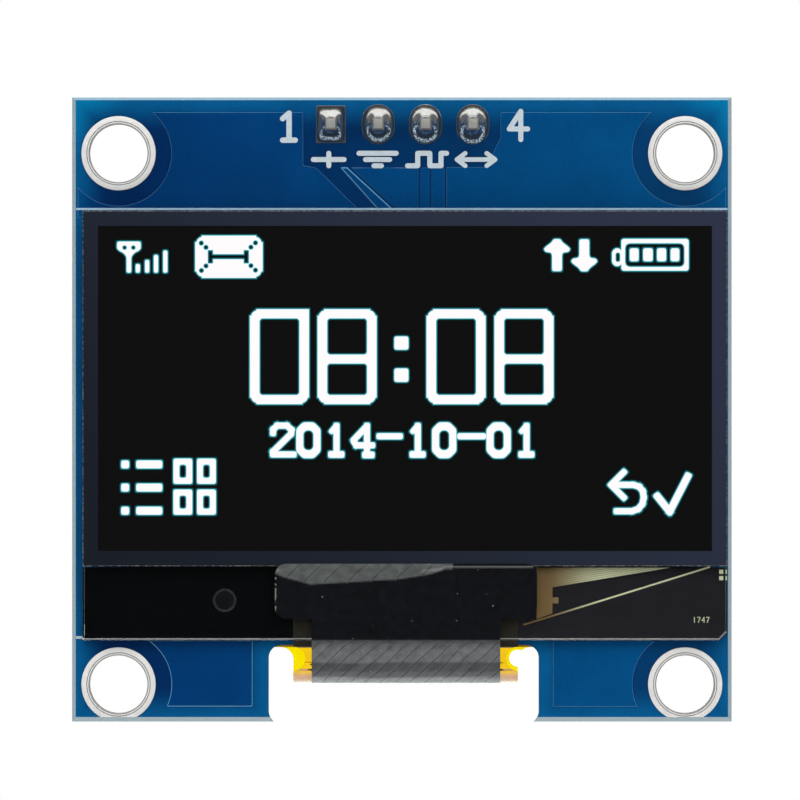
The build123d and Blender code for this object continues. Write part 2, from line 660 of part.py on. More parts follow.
def chip_layout():
    """Name, height, place and stand of every chip part."""
    row = driver_row()
    beside_regulator = [(REGULATOR_X + side * REGULATOR_CAPACITOR_STEP, UPPER_ROW) for side in (-1, 1)]
    reset = (LEFT_PARTS_X + RESET_CAPACITOR_STEP, LOWER_ROW)
    pull_ups = [(LEFT_PARTS_X + step, UPPER_ROW) for step in PULL_UP_STEPS]
    address = (LEFT_PARTS_X, UPPER_ROW)
    capacitors = [(spot, True) for spot in beside_regulator + [reset] + row[:-1]]
    resistors = [(spot, True) for spot in pull_ups + row[-1:]] + [(address, False)]
    kinds = (("capacitor", CAPACITOR_HEIGHT, capacitors), ("resistor", RESISTOR_HEIGHT, resistors))
    layout = []
    for kind, height, spots in kinds:
        for number, (spot, upright) in enumerate(spots, start=1):
            layout.append((f"{kind}_{number}", height, seat(spot, upright)))
    return layout


def group(shapes):
    """Separate like solids that share one node."""
    solids = []
    for shape in shapes:
        solids += shape.solids()
    return Compound(children=solids)


def board_nodes():
    """Board, hole linings and header."""
    nodes = {"circuit_board": circuit_board(), "header_housing": header_housing()}
    for number, (x, z) in enumerate(hole_places(), start=1):
        nodes[f"hole_lining_{number}"] = hole_lining(x, z)
    for index, x in enumerate(pin_places()):
        nodes[f"header_pad_{index + 1}"] = header_pad(index, x)
        nodes[f"header_solder_{index + 1}"] = header_solder(index, x)
        nodes[f"header_pin_{index + 1}"] = header_pin(x)
    return nodes


def panel_nodes():
    """Display panel, its foam, and the flex cable with its tape."""
    foam_shift = (WINDOW_HEIGHT - CAP_FOAM_HEIGHT) / 2 - CAP_FOAM_MARGIN
    return {
        "front_glass": front_glass(),
        "polariser_film": polariser_film(),
        "light_layer": light_layer(),
        "edge_seal": edge_seal(),
        "cap_glass": cap_glass(),
        "drying_sheet": drying_sheet(),
        "driver_chip": driver_chip(),
        "panel_leads": group([panel_leads()]),
        "cap_foam_upper": cap_foam(WINDOW_MIDDLE + foam_shift),
        "cap_foam_lower": cap_foam(WINDOW_MIDDLE - foam_shift),
        "ledge_foam_left": ledge_foam(-1),
        "ledge_foam_right": ledge_foam(1),
        "flex_cable": flex_cable(),
        "flex_tape": flex_tape(),
        "contact_solder": group(contact_solder()),
    }


def component_nodes():
    """Parts soldered on the board's back, with all the back's pads and solder."""
    nodes = {}
    pads = contact_pads()
    solder = []
    for name, height, place in chip_layout():
        chip_pads, chip_solder = chip_joints(height)
        nodes[f"{name}_body"] = place * chip_body(height)
        nodes[f"{name}_ends"] = group([place * chip_ends(height)])
        pads += [place * pad for pad in chip_pads]
        solder += [place * joint for joint in chip_solder]
    cased = (
        ("regulator", regulator(), (REGULATOR_X, UPPER_ROW)),
        ("diode", diode(), (LEFT_PARTS_X, LOWER_ROW)),
    )
    for name, (case, leads, case_pads, case_solder), spot in cased:
        place = seat(spot, upright=False)
        nodes[f"{name}_case"] = place * case
        nodes[f"{name}_leads"] = group(place * lead for lead in leads)
        pads += [place * pad for pad in case_pads]
        solder += [place * joint for joint in case_solder]
    nodes["back_pads"] = group(pads)
    nodes["component_solder"] = group(solder)
    return nodes


def main():
    """Build every sub-part and write one STEP file to each node."""
    os.makedirs("parts", exist_ok=True)
    nodes = board_nodes() | panel_nodes() | component_nodes()
    for name, shape in nodes.items():
        shape.label = name
        export_step(shape, os.path.join("parts", name + ".step"))


main()
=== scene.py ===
"""A small OLED display module on a blue circuit board, dressed for a plain studio picture.

Lengths are millimetres unless a name says otherwise. The frame is the CAD frame: X to the right,
Z up, and -Y towards the viewer of the lit display. Pieces are shaped in millimetres and brought to
metres when they are settled in the frame.
"""

import logging
import math
import random
from collections.abc import Sequence
from dataclasses import dataclass, field, replace
from enum import Enum
from typing import Any

import bpy
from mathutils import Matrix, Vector


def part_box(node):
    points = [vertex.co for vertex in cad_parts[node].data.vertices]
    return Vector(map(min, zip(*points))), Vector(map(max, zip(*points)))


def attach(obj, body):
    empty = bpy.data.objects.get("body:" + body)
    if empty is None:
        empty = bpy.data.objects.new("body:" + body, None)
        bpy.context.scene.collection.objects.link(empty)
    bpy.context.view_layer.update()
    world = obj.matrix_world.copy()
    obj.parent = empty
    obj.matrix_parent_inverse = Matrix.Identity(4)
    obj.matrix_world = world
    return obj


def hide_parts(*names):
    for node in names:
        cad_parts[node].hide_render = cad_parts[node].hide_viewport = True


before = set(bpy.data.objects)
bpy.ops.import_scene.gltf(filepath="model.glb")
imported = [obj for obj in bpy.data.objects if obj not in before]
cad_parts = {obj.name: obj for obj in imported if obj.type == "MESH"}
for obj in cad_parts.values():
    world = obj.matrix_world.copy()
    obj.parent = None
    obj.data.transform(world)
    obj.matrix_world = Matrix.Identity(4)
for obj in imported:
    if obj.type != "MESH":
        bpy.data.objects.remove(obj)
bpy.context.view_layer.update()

MM = 0.001
ROOT_BODY = "root"
SOFT_ANGLE = math.radians(32)
QUARTER_TURN = math.pi / 2
HANGING = "hangs_free"
WHITE = "#FFFFFF"

Object = bpy.types.Object
Node = bpy.types.Node
Tree = bpy.types.NodeTree
Socket = bpy.types.NodeSocket
Point = tuple[float, float]
Loop = list[Point]
Shapes = list[list[Loop]]

log = logging.getLogger("oled_module")


class Side(Enum):
    """The two faces of the board, by the way they look along Y."""

    FRONT = -1
    BACK = 1


class Step(Enum):
    """One step of a shader: the end of Blender's type name for its node, and the node's settings."""

    ADD = ("Math", {"operation": "ADD"})
    SUBTRACT = ("Math", {"operation": "SUBTRACT"})
    MULTIPLY = ("Math", {"operation": "MULTIPLY"})
    DIVIDE = ("Math", {"operation": "DIVIDE"})
    ABSOLUTE = ("Math", {"operation": "ABSOLUTE"})
    MAXIMUM = ("Math", {"operation": "MAXIMUM"})
    MINIMUM = ("Math", {"operation": "MINIMUM"})
    SINE = ("Math", {"operation": "SINE"})
    FRACT = ("Math", {"operation": "FRACT"})
    GREATER_THAN = ("Math", {"operation": "GREATER_THAN"})
    LESS_THAN = ("Math", {"operation": "LESS_THAN"})
    LEVEL = ("MapRange", {})
    SMOOTH = ("MapRange", {"interpolation_type": "SMOOTHSTEP"})
    BLEND = ("Mix", {"data_type": "RGBA"})
    PLACE = ("TexCoord", {})
    AXES = ("SeparateXYZ", {})
    STRETCH = ("Mapping", {})
    NOISE = ("TexNoise", {})
    HANGS = ("Attribute", {"attribute_name": HANGING})
    TONE = ("HueSaturation", {})
    BUMP = ("Bump", {})
    RAYS = ("LightPath", {})
    CLEAR = ("BsdfTransparent", {})
    GLOW = ("Emission", {})
    SKY = ("Background", {})
    MIX = ("MixShader", {})
    SUM = ("AddShader", {})
    WORLD = ("OutputWorld", {})


def hex_colour(code: str) -> tuple[float, float, float, float]:
    """Turn an sRGB hex value into linear light.

    Args:
        code: Six hex digits, with or without a leading hash.

    Returns:
        Linear red, green, blue and full alpha.
    """
    digits = code.lstrip("#")
    channels = [int(digits[start:start + 2], 16) / 255 for start in (0, 2, 4)]
    linear = [c / 12.92 if c <= 0.04045 else ((c + 0.055) / 1.055) ** 2.4 for c in channels]
    return (linear[0], linear[1], linear[2], 1.0)


def feed(tree: Tree, socket: Socket, value: Any) -> None:
    """Give an input its value: a number, a vector, a hex colour, or the output socket that feeds it."""
    if isinstance(value, Socket):
        tree.links.new(value, socket)
    else:
        socket.default_value = hex_colour(value) if isinstance(value, str) else value


def add_node(tree: Tree, step: Step, *values: Any, **named: Any) -> Socket | None:
    """Add one shader node with its settings, values and links.

    Args:
        tree: Node tree that gets the node.
        step: What the node does.
        values: What the inputs in use are fed with, in order.
        named: What other inputs are fed with, by name.

    Returns:
        The first output in use; the node's other outputs are found through it.
    """
    kind, settings = step.value
    node = tree.nodes.new("ShaderNode" + kind)
    for key, value in settings.items():
        setattr(node, key, value)
    in_use = [socket for socket in node.inputs if socket.enabled]
    for socket, value in zip(in_use, values):
        feed(tree, socket, value)
    for key, value in named.items():
        feed(tree, node.inputs[key], value)
    return next((socket for socket in node.outputs if socket.enabled), None)


def blots(size_mm: float) -> float:
    """Give the scale of a noise whose blots are about this wide."""
    return 1 / (size_mm * MM)


def looks(tree: Tree) -> bpy.types.bpy_prop_collection:
    """Give the outputs for X, Y and Z of the way each face looks."""
    return add_node(tree, Step.AXES, add_node(tree, Step.PLACE).node.outputs["Normal"]).node.outputs


def fade(tree: Tree, value: Any, ends: Point, first: Any, second: Any) -> Socket:
    """Turn smoothly from one colour to another as a value goes from one end to the other.

    Args:
        tree: Node tree of the material.
        value: The value to follow.
        ends: Values that give the first and the second colour; the first may be the greater.
        first: First colour.
        second: Second colour.

    Returns:
        The colour.
    """
    return add_node(tree, Step.BLEND, add_node(tree, Step.SMOOTH, value, *ends), first, second)


@dataclass(frozen=True)
class Finish:
    """One real surface: its colour and the way it takes the light."""

    name: str
    colour: str
    roughness: float = 0.5
    metallic: float = 0.0
    ior: float = 1.5
    mottle: float = 0.06
    mottle_mm: float = 1.2
    bump_um: float = 0.0
    bump_mm: float = 0.2

    def material(self) -> bpy.types.Material:
        """Return the finish's material, made the first time it is asked for."""
        return bpy.data.materials.get(self.name) or self.build()

    def build(self) -> bpy.types.Material:
        """Make the material from a Principled shader and this finish's pattern.

        Returns:
            The new material.
        """
        material = bpy.data.materials.new(self.name)
        material.use_nodes = True
        tree = material.node_tree
        shader = tree.nodes["Principled BSDF"]
        place = add_node(tree, Step.PLACE).node.outputs["Object"]
        feed(tree, shader.inputs["Base Color"], self.tint(tree, place))
        feed(tree, shader.inputs["Roughness"], self.roughness)
        feed(tree, shader.inputs["Metallic"], self.metallic)
        if not self.metallic:
            feed(tree, shader.inputs["IOR"], self.ior)
        if self.bump_um:
            self.press(tree, shader, add_node(tree, Step.NOISE, place, blots(self.bump_mm)), self.bump_um)
        self.extras(tree, shader, place)
        return material

    def tint(self, tree: Tree, place: Socket) -> Any:
        """Give the surface colour at each point.

        Args:
            tree: Node tree of the material.
            place: Object coordinates.

        Returns:
            The colour.
        """
        return self.mottled(tree, place, self.colour)

    def mottled(self, tree: Tree, place: Socket, colour: Any, size_mm: float | None = None) -> Socket:
        """Lighten and darken a colour a little, in soft blots.

        Args:
            tree: Node tree of the material.
            place: Object coordinates.
            colour: The colour.
            size_mm: Width of the blots, where it isn't the finish's own.

        Returns:
            The mottled colour.
        """
        shade = add_node(tree, Step.NOISE, place, blots(size_mm or self.mottle_mm))
        level = add_node(tree, Step.LEVEL, shade, 0.3, 0.7, 1 - self.mottle, 1 + self.mottle)
        return add_node(tree, Step.TONE, Value=level, Color=colour)

    def press(self, tree: Tree, shader: Node, height: Socket, depth_um: float) -> None:
        """Press a height pattern into the surface, depth_um micrometres deep."""
        relief = add_node(tree, Step.BUMP, Height=height, Distance=depth_um * MM * MM, Strength=1.0)
        feed(tree, shader.inputs["Normal"], relief)

    def extras(self, tree: Tree, shader: Node, place: Socket) -> None:
        """Add what only this finish has; a plain finish has nothing more."""


def inside_box(tree: Tree, parts: Any, low: Vector, high: Vector, soft: float) -> Socket:
    """Give 1 inside a rectangle of the front view and 0 outside it.

    Args:
        tree: Node tree of the material.
        parts: Outputs for X, Y and Z of the place.
        low: Low corner, in metres.
        high: High corner, in metres.
        soft: Width of the edge, in metres.

    Returns:
        The mask.
    """
    reach = []
    for axis, low_end, high_end in ((0, low.x, high.x), (2, low.z, high.z)):
        off_middle = add_node(tree, Step.SUBTRACT, parts[axis], (low_end + high_end) / 2)
        off_middle = add_node(tree, Step.ABSOLUTE, off_middle)
        reach.append(add_node(tree, Step.SUBTRACT, (high_end - low_end) / 2, off_middle))
    return add_node(tree, Step.SMOOTH, add_node(tree, Step.MINIMUM, *reach), 0.0, soft)


@dataclass(frozen=True)
class SolderMask(Finish):
    """Glossy epoxy mask over glass-fibre laminate. A painted teal glow near the board's edges stands in for
    light that bare laminate carries in from them, with painted light brightest at the two upper corners; the
    glow sinks to navy further in and stops at the scored edges, which are bare laminate."""

    right_colour: str = "#053C6C"
    painted_edge_colour: str = "#055A90"
    side_face_colour: str = "#A8BCC4"
    glow_mm: float = 1.9
    grain_mm: float = 0.1
    fleck_mm: float = 0.15
    lit_corner_colour: str = "#007CB0"
    lit_corner_mm: float = 4.0
    upper_side_colour: str = "#8CBDD6"
    run_looks_up: Point = (0.3, 0.6)
    face_looks_out: Point = (0.93, 0.97)
    notch: tuple[float, float, float] = (-7.15, 7.35, -12.13)

    def edge_distance(self, tree: Tree, parts: Any) -> tuple[Socket, Socket]:
        """Measure how far a point lies from the board's edges.

        Args:
            tree: Node tree of the material.
            parts: Outputs for X, Y and Z of the place.

        Returns:
            The distance to the outline or the notch, whichever is nearer, and the distance to the nearer
            upper corner along its two sides, in metres.
        """
        low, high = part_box("circuit_board")
        left, right, top = (value * MM for value in self.notch)
        across = add_node(tree, Step.SUBTRACT, high.x, add_node(tree, Step.ABSOLUTE, parts[0]))
        above = add_node(tree, Step.SUBTRACT, high.z, parts[2])
        below = add_node(tree, Step.SUBTRACT, parts[2], low.z)
        off_notch = add_node(tree, Step.ABSOLUTE, add_node(tree, Step.SUBTRACT, parts[0], (left + right) / 2))
        beside = add_node(tree, Step.SUBTRACT, off_notch, (right - left) / 2)
        notch = add_node(tree, Step.MAXIMUM, beside, add_node(tree, Step.SUBTRACT, parts[2], top))
        outline = add_node(tree, Step.MINIMUM, add_node(tree, Step.MINIMUM, across, above), below)
        return add_node(tree, Step.MINIMUM, outline, notch), add_node(tree, Step.ADD, across, above)

    def tint(self, tree: Tree, place: Socket) -> Socket:
        """Mix mask, painted edge glow and side faces by place and by the way the face looks."""
        low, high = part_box("circuit_board")
        parts, look = add_node(tree, Step.AXES, place).node.outputs, looks(tree)
        nearest, to_corner = self.edge_distance(tree, parts)
        inner = fade(tree, parts[0], (low.x, high.x), self.colour, self.right_colour)
        # Painted light from above: a brighter teal near the two upper corners.
        rim = fade(tree, to_corner, (0.0, self.lit_corner_mm * MM), self.lit_corner_colour, self.painted_edge_colour)
        # Painted glow near the board's outline and the notch, sinking to the inner tone.
        mask = self.mottled(tree, place, fade(tree, nearest, (0.0, self.glow_mm * MM), rim, inner))
        mask = self.mottled(tree, place, mask, self.grain_mm)
        # Side faces: bare laminate at the board's edges, and a painted highlight on the copper fields' rims.
        edge = fade(tree, look[2], self.run_looks_up, self.side_face_colour, self.upper_side_colour)
        bare = self.mottled(tree, place, edge, self.fleck_mm)
        return fade(tree, add_node(tree, Step.ABSOLUTE, look[1]), self.face_looks_out, bare, mask)


@dataclass(frozen=True)
class TinnedLand(Finish):
    """Hot-levelled tin: near white and satin where it lies flat, with painted shade in grey where it rolls
    over an edge and its faces tilt away.
    """

    painted_edge_colour: str = "#A09E9A"
    roll: Point = (0.6, 0.95)

    def tint(self, tree: Tree, place: Socket) -> Socket:
        """Darken faces that tilt away from the board's own plane, as painted shade."""
        flat = self.mottled(tree, place, self.colour)
        return fade(tree, add_node(tree, Step.ABSOLUTE, looks(tree)[1]), self.roll, self.painted_edge_colour, flat)


@dataclass(frozen=True)
class SolderWithPaintedLight(Finish):
    """Shiny solder with painted light: silver where it faces up to the light, a blue-grey painted reflection
    of the mask beside it where it doesn't, and a pale grainy painted highlight in a ring low on each cone,
    where the faces look down."""

    mask_reflection_colour: str = "#8AA9CC"
    pale_highlight_colour: str = "#C4D4E0"
    grain_mm: float = 0.09
    reflection_looks_up: Point = (0.02, 0.12)
    ring_starts: Point = (-0.05, -0.1)
    ring_ends: Point = (-0.3, -0.2)
    grain_range: Point = (0.38, 0.6)

    def pale_highlight_grains(self, tree: Tree, place: Socket) -> Socket:
        """Give 1 on the grains of the pale painted highlight, a ring found by the way its faces look down,
        and 0 elsewhere.
        """
        upward = looks(tree)[2]
        ring = add_node(tree, Step.MULTIPLY, add_node(tree, Step.SMOOTH, upward, *self.ring_starts),
                        add_node(tree, Step.SMOOTH, upward, *self.ring_ends))
        grain = add_node(tree, Step.NOISE, place, blots(self.grain_mm))
        return add_node(tree, Step.MULTIPLY, ring, add_node(tree, Step.SMOOTH, grain, *self.grain_range))

    def tint(self, tree: Tree, place: Socket) -> Socket:
        """Mix silver, the painted reflection of the mask and the pale painted highlight."""
        silver = self.mottled(tree, place, self.colour)
        # Painted reflection of the mask on faces that don't look up.
        film = fade(tree, looks(tree)[2], self.reflection_looks_up, self.mask_reflection_colour, silver)
        return add_node(tree, Step.BLEND, self.pale_highlight_grains(tree, place), film, self.pale_highlight_colour)

    def extras(self, tree: Tree, shader: Node, place: Socket) -> None:
        """Dull the metal under the pale painted highlight."""
        bare = add_node(tree, Step.SUBTRACT, 1.0, self.pale_highlight_grains(tree, place))
        feed(tree, shader.inputs["Metallic"], add_node(tree, Step.MULTIPLY, bare, self.metallic))


@dataclass(frozen=True)
class PolariserFilm(Finish):
    """Dark stretched film, optically flat: black over the light layer, slate over the glue frame round it,
    and grey with pale specks along its guillotined edge."""

    low_colour: str = "#1B2029"
    high_colour: str = "#2F3547"
    cut_colour: str = "#7E7D72"
    window_edge_mm: float = 0.04
    speck_mm: float = 0.12
    speck_range: Point = (0.45, 0.6)
    face_looks_out: Point = (0.8, 0.95)

    def tint(self, tree: Tree, place: Socket) -> Socket:
        """Mix window, frame and cut edge by place and by the way the face looks."""
        low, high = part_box("light_layer")
        parts = add_node(tree, Step.AXES, place).node.outputs
        slant = add_node(tree, Step.ADD, parts[0], parts[2])
        rim = fade(tree, slant, (low.x + low.z, high.x + high.z), self.low_colour, self.high_colour)
        window = inside_box(tree, parts, low, high, self.window_edge_mm * MM)
        flat = add_node(tree, Step.BLEND, window, rim, self.colour)
        specks = add_node(tree, Step.NOISE, place, blots(self.speck_mm))
        cut_edge = fade(tree, specks, self.speck_range, self.low_colour, self.cut_colour)
        return fade(tree, add_node(tree, Step.ABSOLUTE, looks(tree)[1]), self.face_looks_out, cut_edge, flat)


@dataclass(frozen=True)
class ClearGlass(Finish):
    """Ground and polished sheet glass. Light goes straight through it to what lies behind."""

    def extras(self, tree: Tree, shader: Node, place: Socket) -> None:
        """Let light through, and cast no dark shadow."""
        feed(tree, shader.inputs["Transmission Weight"], 1.0)
        rays = add_node(tree, Step.RAYS).node.outputs
        unseen = add_node(tree, Step.MAXIMUM, rays["Is Shadow Ray"], rays["Is Diffuse Ray"])
        surface = add_node(tree, Step.MIX, unseen, shader.outputs[0], add_node(tree, Step.CLEAR))
        feed(tree, tree.nodes["Material Output"].inputs["Surface"], surface)


@dataclass(frozen=True)
class LitDots(Finish):
    """Light-emitting dots seen through the film: they give their own light and take almost none."""

    unlit_colour: str = "#050505"

    def tint(self, tree: Tree, place: Socket) -> str:
        """Give the dark tone of the dots themselves."""
        return self.unlit_colour

    def extras(self, tree: Tree, shader: Node, place: Socket) -> None:
        """Make the surface give the light that its colour says."""
        feed(tree, shader.inputs["Emission Color"], self.colour)
        feed(tree, shader.inputs["Emission Strength"], 1.0)


@dataclass(frozen=True)
class FlexFilm(Finish):
    """Cast polyimide film with copper inside. Light soaks through it: amber where two layers lie over each
    other, bright yellow where one does, dark olive on its front layer behind the glass and just below its
    edge, and pale at the bottom of the fold: a painted highlight from the light below."""

    single_colour: str = "#FFE600"
    front_dark_colour: str = "#2C2A23"
    tail_colour: str = "#E0A51C"
    fold_highlight_colour: str = "#E6D0BE"
    fold_highlight_mm: Point = (-13.85, -13.55)
    glue_end: float = -12.2
    glue_blur: float = 0.1
    layer_mm: float = 0.2
    soak: float = 0.97

    def tint(self, tree: Tree, place: Socket) -> Socket:
        """Mix the tones of the free film, the painted highlight at its fold and its covered ends by place."""
        low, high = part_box("flex_cable")
        parts = add_node(tree, Step.AXES, place).node.outputs
        layer = add_node(tree, Step.SMOOTH, parts[1], (low.y + high.y) / 2, high.y - self.layer_mm * MM)
        film = add_node(tree, Step.BLEND, layer, self.colour, self.single_colour)
        fold_low, fold_high = self.fold_highlight_mm
        # Painted highlight: paler at the bottom of the fold, where light comes from below.
        film = fade(tree, parts[2], (fold_low * MM, fold_high * MM), self.fold_highlight_colour, film)
        covered = add_node(tree, Step.BLEND, layer, self.front_dark_colour, self.tail_colour)
        tone = add_node(tree, Step.BLEND, self.covered_share(tree, parts), film, covered)
        return self.mottled(tree, place, tone)

    def covered_share(self, tree: Tree, parts: Any) -> Socket:
        """Give 1 where the film lies on glass or board, and 0 where it hangs free in the notch."""
        return add_node(tree, Step.SMOOTH, parts[2], (self.glue_end - self.glue_blur) * MM,
                        self.glue_end * MM)

    def extras(self, tree: Tree, shader: Node, place: Socket) -> None:
        """Let light soak through the film where it hangs free."""
        free = add_node(tree, Step.SUBTRACT, 1.0,
                        self.covered_share(tree, add_node(tree, Step.AXES, place).node.outputs))
        feed(tree, shader.inputs["Transmission Weight"], add_node(tree, Step.MULTIPLY, free, self.soak))


@dataclass(frozen=True)
class LeadFilm(Finish):
    """Thin sputtered metal, etched into fine parallel leads: brown-gold near the flex, grey-green further
    out. The real leads are closer together; they are drawn as coarse as the picture can show."""

    far_colour: str = "#DADCB4"
    gap_colour: str = "#6A6048"
    turn_mm: Point = (1.2, 4.5)
    line_pitch: float = 0.11
    line_lean: float = -0.16
    line_edge: Point = (0.1, 0.9)
    gap_share: float = 0.45
    lined_top_mm: Point = (1.4, 1.0)
    lined_right_mm: Point = (3.0, 4.0)

    def tint(self, tree: Tree, place: Socket) -> Socket:
        """Draw the fine leads and turn their tone from left to right."""
        low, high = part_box("panel_leads")
        parts = add_node(tree, Step.AXES, place).node.outputs
        start, end = self.turn_mm
        metal = fade(tree, parts[0], (low.x + start * MM, low.x + end * MM), self.colour, self.far_colour)
        slant = add_node(tree, Step.ADD, parts[2], add_node(tree, Step.MULTIPLY, parts[0], self.line_lean))
        turns = add_node(tree, Step.MULTIPLY, slant, 2 * math.pi / (self.line_pitch * MM))
        lines = add_node(tree, Step.SMOOTH, add_node(tree, Step.SINE, turns), *self.line_edge)
        upper = add_node(tree, Step.SMOOTH, parts[2], *(high.z - down * MM for down in self.lined_top_mm))
        near = add_node(tree, Step.SMOOTH, parts[0],
                        *(high.x - inward * MM for inward in self.lined_right_mm))
        lines = add_node(tree, Step.MULTIPLY, add_node(tree, Step.MULTIPLY, upper, near), lines)
        share = add_node(tree, Step.MULTIPLY, lines, self.gap_share)
        return add_node(tree, Step.BLEND, share, metal, self.gap_colour)


@dataclass(frozen=True)
class CreasedTape(Finish):
    """Thin black polyester tape, glossy, with sharp slanted creases where it spans a step, and a few pale
    dust specks. Light and shade are painted on it: a painted highlight on the strip that bridges the film's
    edge, painted bands of light and shade down the slope below the glass, painted shade in the creases and
    painted glints in pale specks along its left rim. The crease lines are finer than the mesh, so they are
    pressed in as relief."""

    speck_colour: str = "#8C8C88"
    speck_mm: float = 0.16
    speck_range: Point = (0.83, 0.86)
    bridge_highlight_colour: str = "#5A5E5D"
    bridge_pitch: float = 1.2
    slope_pitch: float = 0.8
    slope_blur: float = 0.05
    crease_lean: float = 1.05
    crease_drift: float = 0.6
    drift_mm: float = 2.5
    crease_mm: float = 0.045
    crease_um: float = 32.0
    crease_shade: float = 0.75
    lit_and_shaded_bands: tuple[tuple[float, str], ...] = ((-11.9, "#4B4E50"), (-12.5, "#5F6163"), (-12.95, "#5F6163"),
                                            (-13.15, "#383B3E"), (-13.74, "#34383C"), (-14.0, "#8A9092"))
    band_wave: float = 0.3
    band_blot: float = 0.35
    streak: float = 0.12
    glint_band_mm: float = 0.12
    fleck_mm: float = 0.18
    glint_range: Point = (0.52, 0.62)

    def tint(self, tree: Tree, place: Socket) -> Socket:
        """Paint light on the bridge and the slope and shade in the creases, and scatter a few dust specks and
        the rim's painted glints over the black.
        """
        bridge, slope, sunk = self.zones(tree, place)
        # Painted light and shade on the slope, and a painted highlight on the bridge.
        film = add_node(tree, Step.BLEND, slope, self.colour, self.slope_tone(tree, place))
        film = add_node(tree, Step.BLEND, bridge, film, self.bridge_highlight_colour)
        # Painted shade in the creases.
        film = add_node(tree, Step.BLEND, add_node(tree, Step.MULTIPLY, sunk, self.crease_shade), film,
                        self.colour)
        dust = add_node(tree, Step.NOISE, place, blots(self.speck_mm), Detail=0.0)
        specks = add_node(tree, Step.SMOOTH, dust, *self.speck_range)
        specks = add_node(tree, Step.MAXIMUM, specks, self.rim_glints(tree, place))
        return add_node(tree, Step.BLEND, specks, self.mottled(tree, place, film), self.speck_colour)

    def slope_tone(self, tree: Tree, place: Socket) -> Socket:
        """Give the slope's painted bands of light and shade, with wavy limits that run along the fold."""
        drawn_out = add_node(tree, Step.STRETCH, place, Scale=(self.streak, 1.0, 1.0))
        wave = add_node(tree, Step.SUBTRACT, add_node(tree, Step.NOISE, drawn_out, blots(self.band_blot)),
                        0.5)
        wave = add_node(tree, Step.MULTIPLY, wave, self.band_wave * MM)
        height = add_node(tree, Step.ADD, add_node(tree, Step.AXES, place).node.outputs[2], wave)
        tone = self.lit_and_shaded_bands[0][1]
        for (start, _), (end, colour) in zip(self.lit_and_shaded_bands, self.lit_and_shaded_bands[1:]):
            tone = fade(tree, height, (start * MM, end * MM), tone, colour)
        return tone

    def rim_glints(self, tree: Tree, place: Socket) -> Socket:
        """Give 1 on the pale painted glints along the tape's left rim."""
        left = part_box("flex_tape")[0].x
        rim = add_node(tree, Step.SMOOTH, add_node(tree, Step.AXES, place).node.outputs[0],
                       left + self.glint_band_mm * MM, left)
        glints = add_node(tree, Step.NOISE, place, blots(self.fleck_mm))
        return add_node(tree, Step.MULTIPLY, rim, add_node(tree, Step.SMOOTH, glints, *self.glint_range))

    def lines(self, tree: Tree, slant: Socket, pitch: float) -> Socket:
        """Give 1 on evenly pitched thin lines and 0 between them.

        Args:
            tree: Node tree of the material.
            slant: Place across the lines, in metres.
            pitch: Distance between lines, in millimetres.

        Returns:
            The depth of the lines.
        """
        cell = add_node(tree, Step.FRACT, add_node(tree, Step.DIVIDE, slant, pitch * MM))
        off_middle = add_node(tree, Step.ABSOLUTE, add_node(tree, Step.SUBTRACT, cell, 0.5))
        return add_node(tree, Step.SMOOTH, add_node(tree, Step.MULTIPLY, off_middle, pitch), self.crease_mm,
                        0.0)

    def zones(self, tree: Tree, place: Socket) -> tuple[Socket, Socket, Socket]:
        """Find where the tape hangs free and where it is creased.

        Args:
            tree: Node tree of the material.
            place: Object coordinates.

        Returns:
            The strip under the film's edge, the slope below the glass, and the crease lines on both.
        """
        glass_edge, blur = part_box("front_glass")[0].z, self.slope_blur * MM
        parts = add_node(tree, Step.AXES, place).node.outputs
        drift = add_node(tree, Step.NOISE, place, blots(self.drift_mm))
        drift = add_node(tree, Step.MULTIPLY, drift, self.crease_drift * MM)
        slant = add_node(tree, Step.SUBTRACT, add_node(tree, Step.ADD, parts[0], drift),
                         add_node(tree, Step.MULTIPLY, parts[2], self.crease_lean))
        bridge = add_node(tree, Step.HANGS).node.outputs["Fac"]
        slope = add_node(tree, Step.SMOOTH, parts[2], glass_edge + blur, glass_edge - blur)
        sunk = [add_node(tree, Step.MULTIPLY, zone, self.lines(tree, slant, pitch))
                for zone, pitch in ((bridge, self.bridge_pitch), (slope, self.slope_pitch))]
        return bridge, slope, add_node(tree, Step.MAXIMUM, *sunk)

    def extras(self, tree: Tree, shader: Node, place: Socket) -> None:
        """Press slanted lines into the parts that span a step."""
        sunk = self.zones(tree, place)[2]
        self.press(tree, shader, add_node(tree, Step.SUBTRACT, 1.0, sunk), self.crease_um)


@dataclass(frozen=True)
class BandedCase(Finish):
    """Moulded black epoxy with one painted band near an end."""

    band_colour: str = "#B9B9B4"
    band: Point = (-0.62, -0.36)

    def tint(self, tree: Tree, place: Socket) -> Socket:
        """Paint the band across the case, measured from its middle."""
        low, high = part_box("diode_case")
        across = add_node(tree, Step.AXES, place).node.outputs[0]
        start, end = ((low.x + high.x) / 2 + value * MM for value in self.band)
        painted = add_node(tree, Step.MULTIPLY, add_node(tree, Step.GREATER_THAN, across, start),
                           add_node(tree, Step.LESS_THAN, across, end))
        return add_node(tree, Step.BLEND, painted, self.mottled(tree, place, self.colour), self.band_colour)


# Screened epoxy mask on bare laminate: a hard blue gloss that shows the sky in its raised rims.
MASK = SolderMask("blue_mask_on_laminate", "#022A5C", roughness=0.1, mottle=0.08, mottle_mm=1.8)
# The same mask over copper: brighter, with a pale blue painted highlight on the rims along the copper's edge.
POUR_MASK = SolderMask("blue_mask_on_copper", "#013870", roughness=0.1, mottle=0.08, mottle_mm=2.5,
                       right_colour="#024E84", painted_edge_colour="#035286", side_face_colour="#5E9EC8",
                       upper_side_colour="#5E9EC8",
                       glow_mm=1.2)
# The mask over narrow tracks, whose rims get no pale painted highlight and stay dull.
TRACK_MASK = replace(POUR_MASK, name="blue_mask_on_tracks", side_face_colour="#124F86", upper_side_colour="#124F86")
